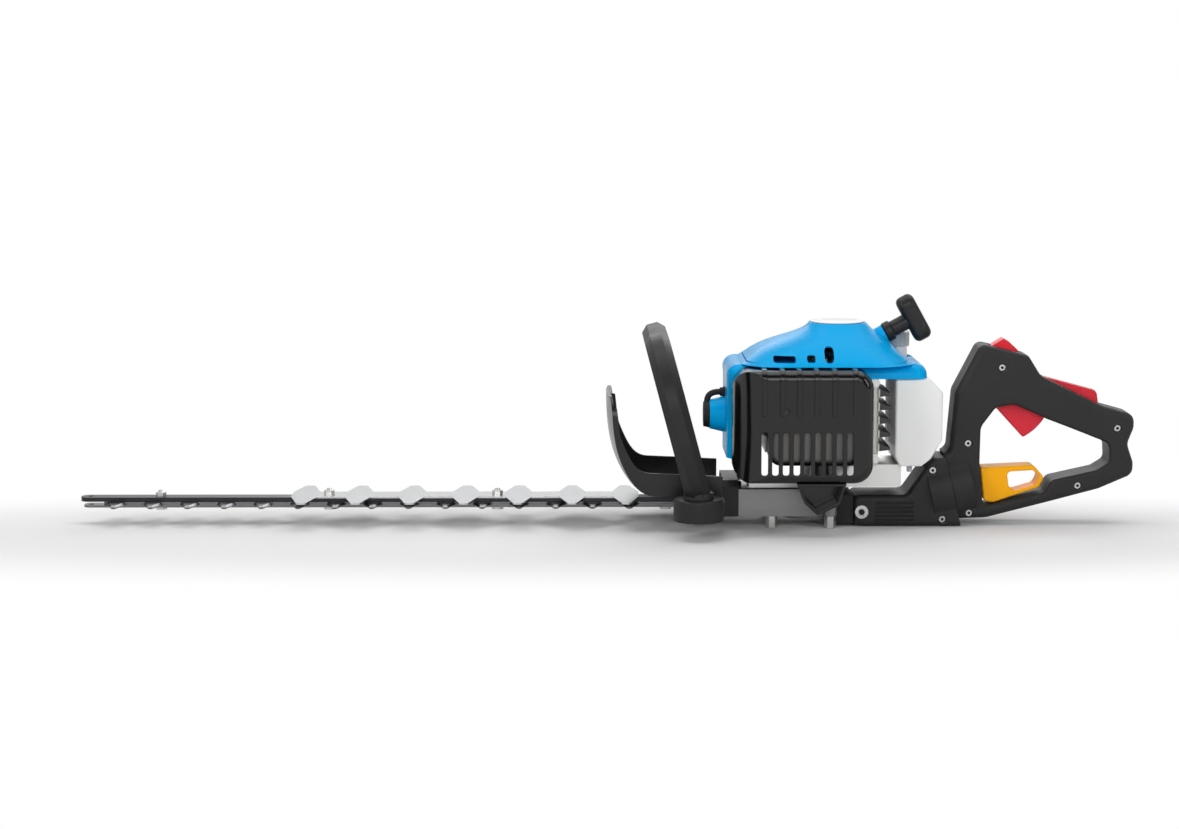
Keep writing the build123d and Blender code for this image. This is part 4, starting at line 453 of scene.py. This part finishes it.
# Hose barb under the fuel tank
tank_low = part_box("fuel_tank")[0]
barb_profile = [
    (0.0003, -0.0010), (0.0036, -0.0010), (0.0036, 0.0012), (0.0022, 0.0014), (0.0030, 0.0030),
    (0.0022, 0.0048), (0.0030, 0.0050), (0.0020, 0.0070), (0.0003, 0.0070),
]
barb_seat = Vector((tank_low.x + 0.016, -0.030, tank_low.z))
add_piece(
    "tank_barb",
    turned(barb_profile, barb_seat, Vector((0, 0, -1)), 32),
    finishes["cap_plastic"], "machine",
)

# Starter rope: one braided straight run from the guide towards the grip
rope_mesh = bmesh.new()
rope_radius = 0.0016
rope_rings = 160
rope_sides = 12
strand_count = 6
strand_depth = 0.06
strand_twist = 1.1
rope_base = Vector((CRANK_X + 0.022, 0.0, 0.174))
rope_start = rope_base + ROPE_DIR * 0.010
rope_end = rope_base + ROPE_DIR * 0.0372
rope_turn = Vector((0.0, 0.0, 1.0)).rotation_difference(ROPE_DIR).to_matrix()
rope_loops = []
for i in range(rope_rings + 1):
    centre = rope_start.lerp(rope_end, i / rope_rings)
    loop = []
    for k in range(rope_sides):
        angle = 2.0 * math.pi * k / rope_sides
        radius = rope_radius * (1.0 + strand_depth * math.cos(strand_count * angle + strand_twist * i))
        offset = Vector((radius * math.cos(angle), radius * math.sin(angle), 0.0))
        loop.append(rope_mesh.verts.new(centre + rope_turn @ offset))
    rope_loops.append(loop)
for lower, upper in zip(rope_loops, rope_loops[1:]):
    for k in range(rope_sides):
        rope_mesh.faces.new((lower[k], lower[(k + 1) % rope_sides], upper[(k + 1) % rope_sides], upper[k]))
rope_mesh.faces.new(rope_loops[0])
rope_mesh.faces.new(rope_loops[-1])
rope_data = bpy.data.meshes.new("pull_rope")
bmesh.ops.recalc_face_normals(rope_mesh, faces=rope_mesh.faces)
rope_mesh.to_mesh(rope_data)
rope_mesh.free()
rope_data.materials.append(finishes["rope_fibre"])
rope_data.shade_smooth()
pull_rope = bpy.data.objects.new("pull_rope", rope_data)
scene.collection.objects.link(pull_rope)
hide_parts("starter_rope")
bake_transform(pull_rope)


# Floor, world, lights and camera

world = bpy.data.worlds.new("studio")
scene.world = world
world.use_nodes = True
sky = world.node_tree
sky_light = sky.nodes["Background"]
sky_light.inputs["Strength"].default_value = 0.5
sky_seen = sky.nodes.new("ShaderNodeBackground")
sky_seen.inputs["Color"].default_value = (1.0, 1.0, 1.0, 1.0)
sky_mirrored = sky.nodes.new("ShaderNodeBackground")
sky_place = sky.nodes.new("ShaderNodeTexCoord")
sky_axes = sky.nodes.new("ShaderNodeSeparateXYZ")
sky_side = sky.nodes.new("ShaderNodeMapRange")
sky_side.inputs["From Min"].default_value = -0.55
sky_side.inputs["From Max"].default_value = 0.25
sky_side.inputs["To Min"].default_value = 0.1
sky_side.inputs["To Max"].default_value = 1.0
sky.links.new(sky_place.outputs["Generated"], sky_axes.inputs["Vector"])
sky.links.new(sky_axes.outputs["Y"], sky_side.inputs["Value"])
sky.links.new(sky_side.outputs["Result"], sky_mirrored.inputs["Strength"])
sky_path = sky.nodes.new("ShaderNodeLightPath")
sky_shiny = sky.nodes.new("ShaderNodeMath")
sky_shiny.operation = "MAXIMUM"
sky.links.new(sky_path.outputs["Is Glossy Ray"], sky_shiny.inputs[0])
sky.links.new(sky_path.outputs["Is Transmission Ray"], sky_shiny.inputs[1])
sky_reflect = sky.nodes.new("ShaderNodeMixShader")
sky.links.new(sky_shiny.outputs["Value"], sky_reflect.inputs["Fac"])
sky.links.new(sky_light.outputs["Background"], sky_reflect.inputs[1])
sky.links.new(sky_mirrored.outputs["Background"], sky_reflect.inputs[2])
sky_mix = sky.nodes.new("ShaderNodeMixShader")
sky.links.new(sky_path.outputs["Is Camera Ray"], sky_mix.inputs["Fac"])
sky.links.new(sky_reflect.outputs["Shader"], sky_mix.inputs[1])
sky.links.new(sky_seen.outputs["Background"], sky_mix.inputs[2])
sky.links.new(sky_mix.outputs["Shader"], sky.nodes["World Output"].inputs["Surface"])

floor_mesh = bpy.data.meshes.new("floor")
floor_half = 6.0
floor_z = -0.0005
floor_corners = [(-1, -1), (1, -1), (1, 1), (-1, 1)]
floor_points = [(x * floor_half, y * floor_half, floor_z) for x, y in floor_corners]
floor_mesh.from_pydata(floor_points, [], [(0, 1, 2, 3)])
floor = bpy.data.objects.new("floor", floor_mesh)
scene.collection.objects.link(floor)
floor_paint = bpy.data.materials.new("floor_paint")
floor_paint.use_nodes = True
floor_shader = floor_paint.node_tree.nodes["Principled BSDF"]
floor_shader.inputs["Base Color"].default_value = (0.93, 0.93, 0.93, 1.0)
floor_shader.inputs["Roughness"].default_value = 0.9
floor_shader.inputs["Specular IOR Level"].default_value = 0.1
floor_tree = floor_paint.node_tree
floor_place = floor_tree.nodes.new("ShaderNodeTexCoord")
floor_squeeze = floor_tree.nodes.new("ShaderNodeMapping")
floor_squeeze.inputs["Location"].default_value = (0.0, 0.14, 0.0)
floor_squeeze.inputs["Scale"].default_value = (0.45, 1.9, 1.0)
floor_reach = floor_tree.nodes.new("ShaderNodeVectorMath")
floor_reach.operation = "LENGTH"
floor_fade = floor_tree.nodes.new("ShaderNodeMapRange")
floor_fade.interpolation_type = "SMOOTHSTEP"
floor_fade.inputs["From Min"].default_value = 0.2
floor_fade.inputs["From Max"].default_value = 0.52
floor_white = floor_tree.nodes.new("ShaderNodeEmission")
floor_blend = floor_tree.nodes.new("ShaderNodeMixShader")
floor_path = floor_tree.nodes.new("ShaderNodeLightPath")
floor_shiny = floor_tree.nodes.new("ShaderNodeMath")
floor_shiny.operation = "MAXIMUM"
floor_any = floor_tree.nodes.new("ShaderNodeMath")
floor_any.operation = "MAXIMUM"
floor_seen = floor_tree.nodes.new("ShaderNodeMath")
floor_seen.operation = "MULTIPLY"
floor_tree.links.new(floor_path.outputs["Is Glossy Ray"], floor_shiny.inputs[0])
floor_tree.links.new(floor_path.outputs["Is Transmission Ray"], floor_shiny.inputs[1])
floor_tree.links.new(floor_shiny.outputs["Value"], floor_any.inputs[0])
floor_tree.links.new(floor_path.outputs["Is Camera Ray"], floor_any.inputs[1])
floor_tree.links.new(floor_place.outputs["Object"], floor_squeeze.inputs["Vector"])
floor_tree.links.new(floor_squeeze.outputs["Vector"], floor_reach.inputs[0])
floor_tree.links.new(floor_reach.outputs["Value"], floor_fade.inputs["Value"])
floor_tree.links.new(floor_fade.outputs["Result"], floor_seen.inputs[0])
floor_tree.links.new(floor_any.outputs["Value"], floor_seen.inputs[1])
floor_tree.links.new(floor_seen.outputs["Value"], floor_blend.inputs["Fac"])
floor_tree.links.new(floor_shader.outputs["BSDF"], floor_blend.inputs[1])
floor_tree.links.new(floor_white.outputs["Emission"], floor_blend.inputs[2])
floor_tree.links.new(floor_blend.outputs["Shader"], floor_tree.nodes["Material Output"].inputs["Surface"])
floor_mesh.materials.append(floor_paint)


def soft_light(name, place, target, width, height, power):
    """A rectangular soft box that points at a target."""
    lamp = bpy.data.lights.new(name, "AREA")
    lamp.shape = "RECTANGLE"
    lamp.size = width
    lamp.size_y = height
    lamp.energy = power
    holder = bpy.data.objects.new(name, lamp)
    holder.location = place
    holder.rotation_mode = "QUATERNION"
    holder.rotation_quaternion = (Vector(target) - Vector(place)).to_track_quat("-Z", "Y")
    scene.collection.objects.link(holder)


soft_light("overhead", (0.0, 0.1, 1.9), (0.0, 0.0, 0.1), 3.0, 1.6, 27.0)
soft_light("near_left", (-1.9, -1.6, 1.2), (0.1, 0.0, 0.1), 0.5, 1.4, 20.0)
soft_light("near_right", (1.9, -1.5, 0.9), (0.25, 0.0, 0.12), 0.4, 1.2, 10.0)
soft_light("front_fill", (0.1, -3.0, 1.1), (0.0, 0.0, 0.1), 2.2, 1.2, 34.0)
soft_light("far_rim", (0.4, 2.2, 1.2), (0.1, 0.0, 0.1), 2.0, 0.9, 12.0)

camera_data = bpy.data.cameras.new("camera")
camera_data.sensor_width = 36.0
camera_data.lens = 81.4
camera = bpy.data.objects.new("camera", camera_data)
camera.location = (-0.032, -2.6, 0.46)
camera.rotation_mode = "QUATERNION"
camera_aim = Vector((-0.016, 0.0, 0.1074))
camera.rotation_quaternion = (camera_aim - camera.location).to_track_quat("-Z", "Y")
scene.collection.objects.link(camera)
scene.camera = camera
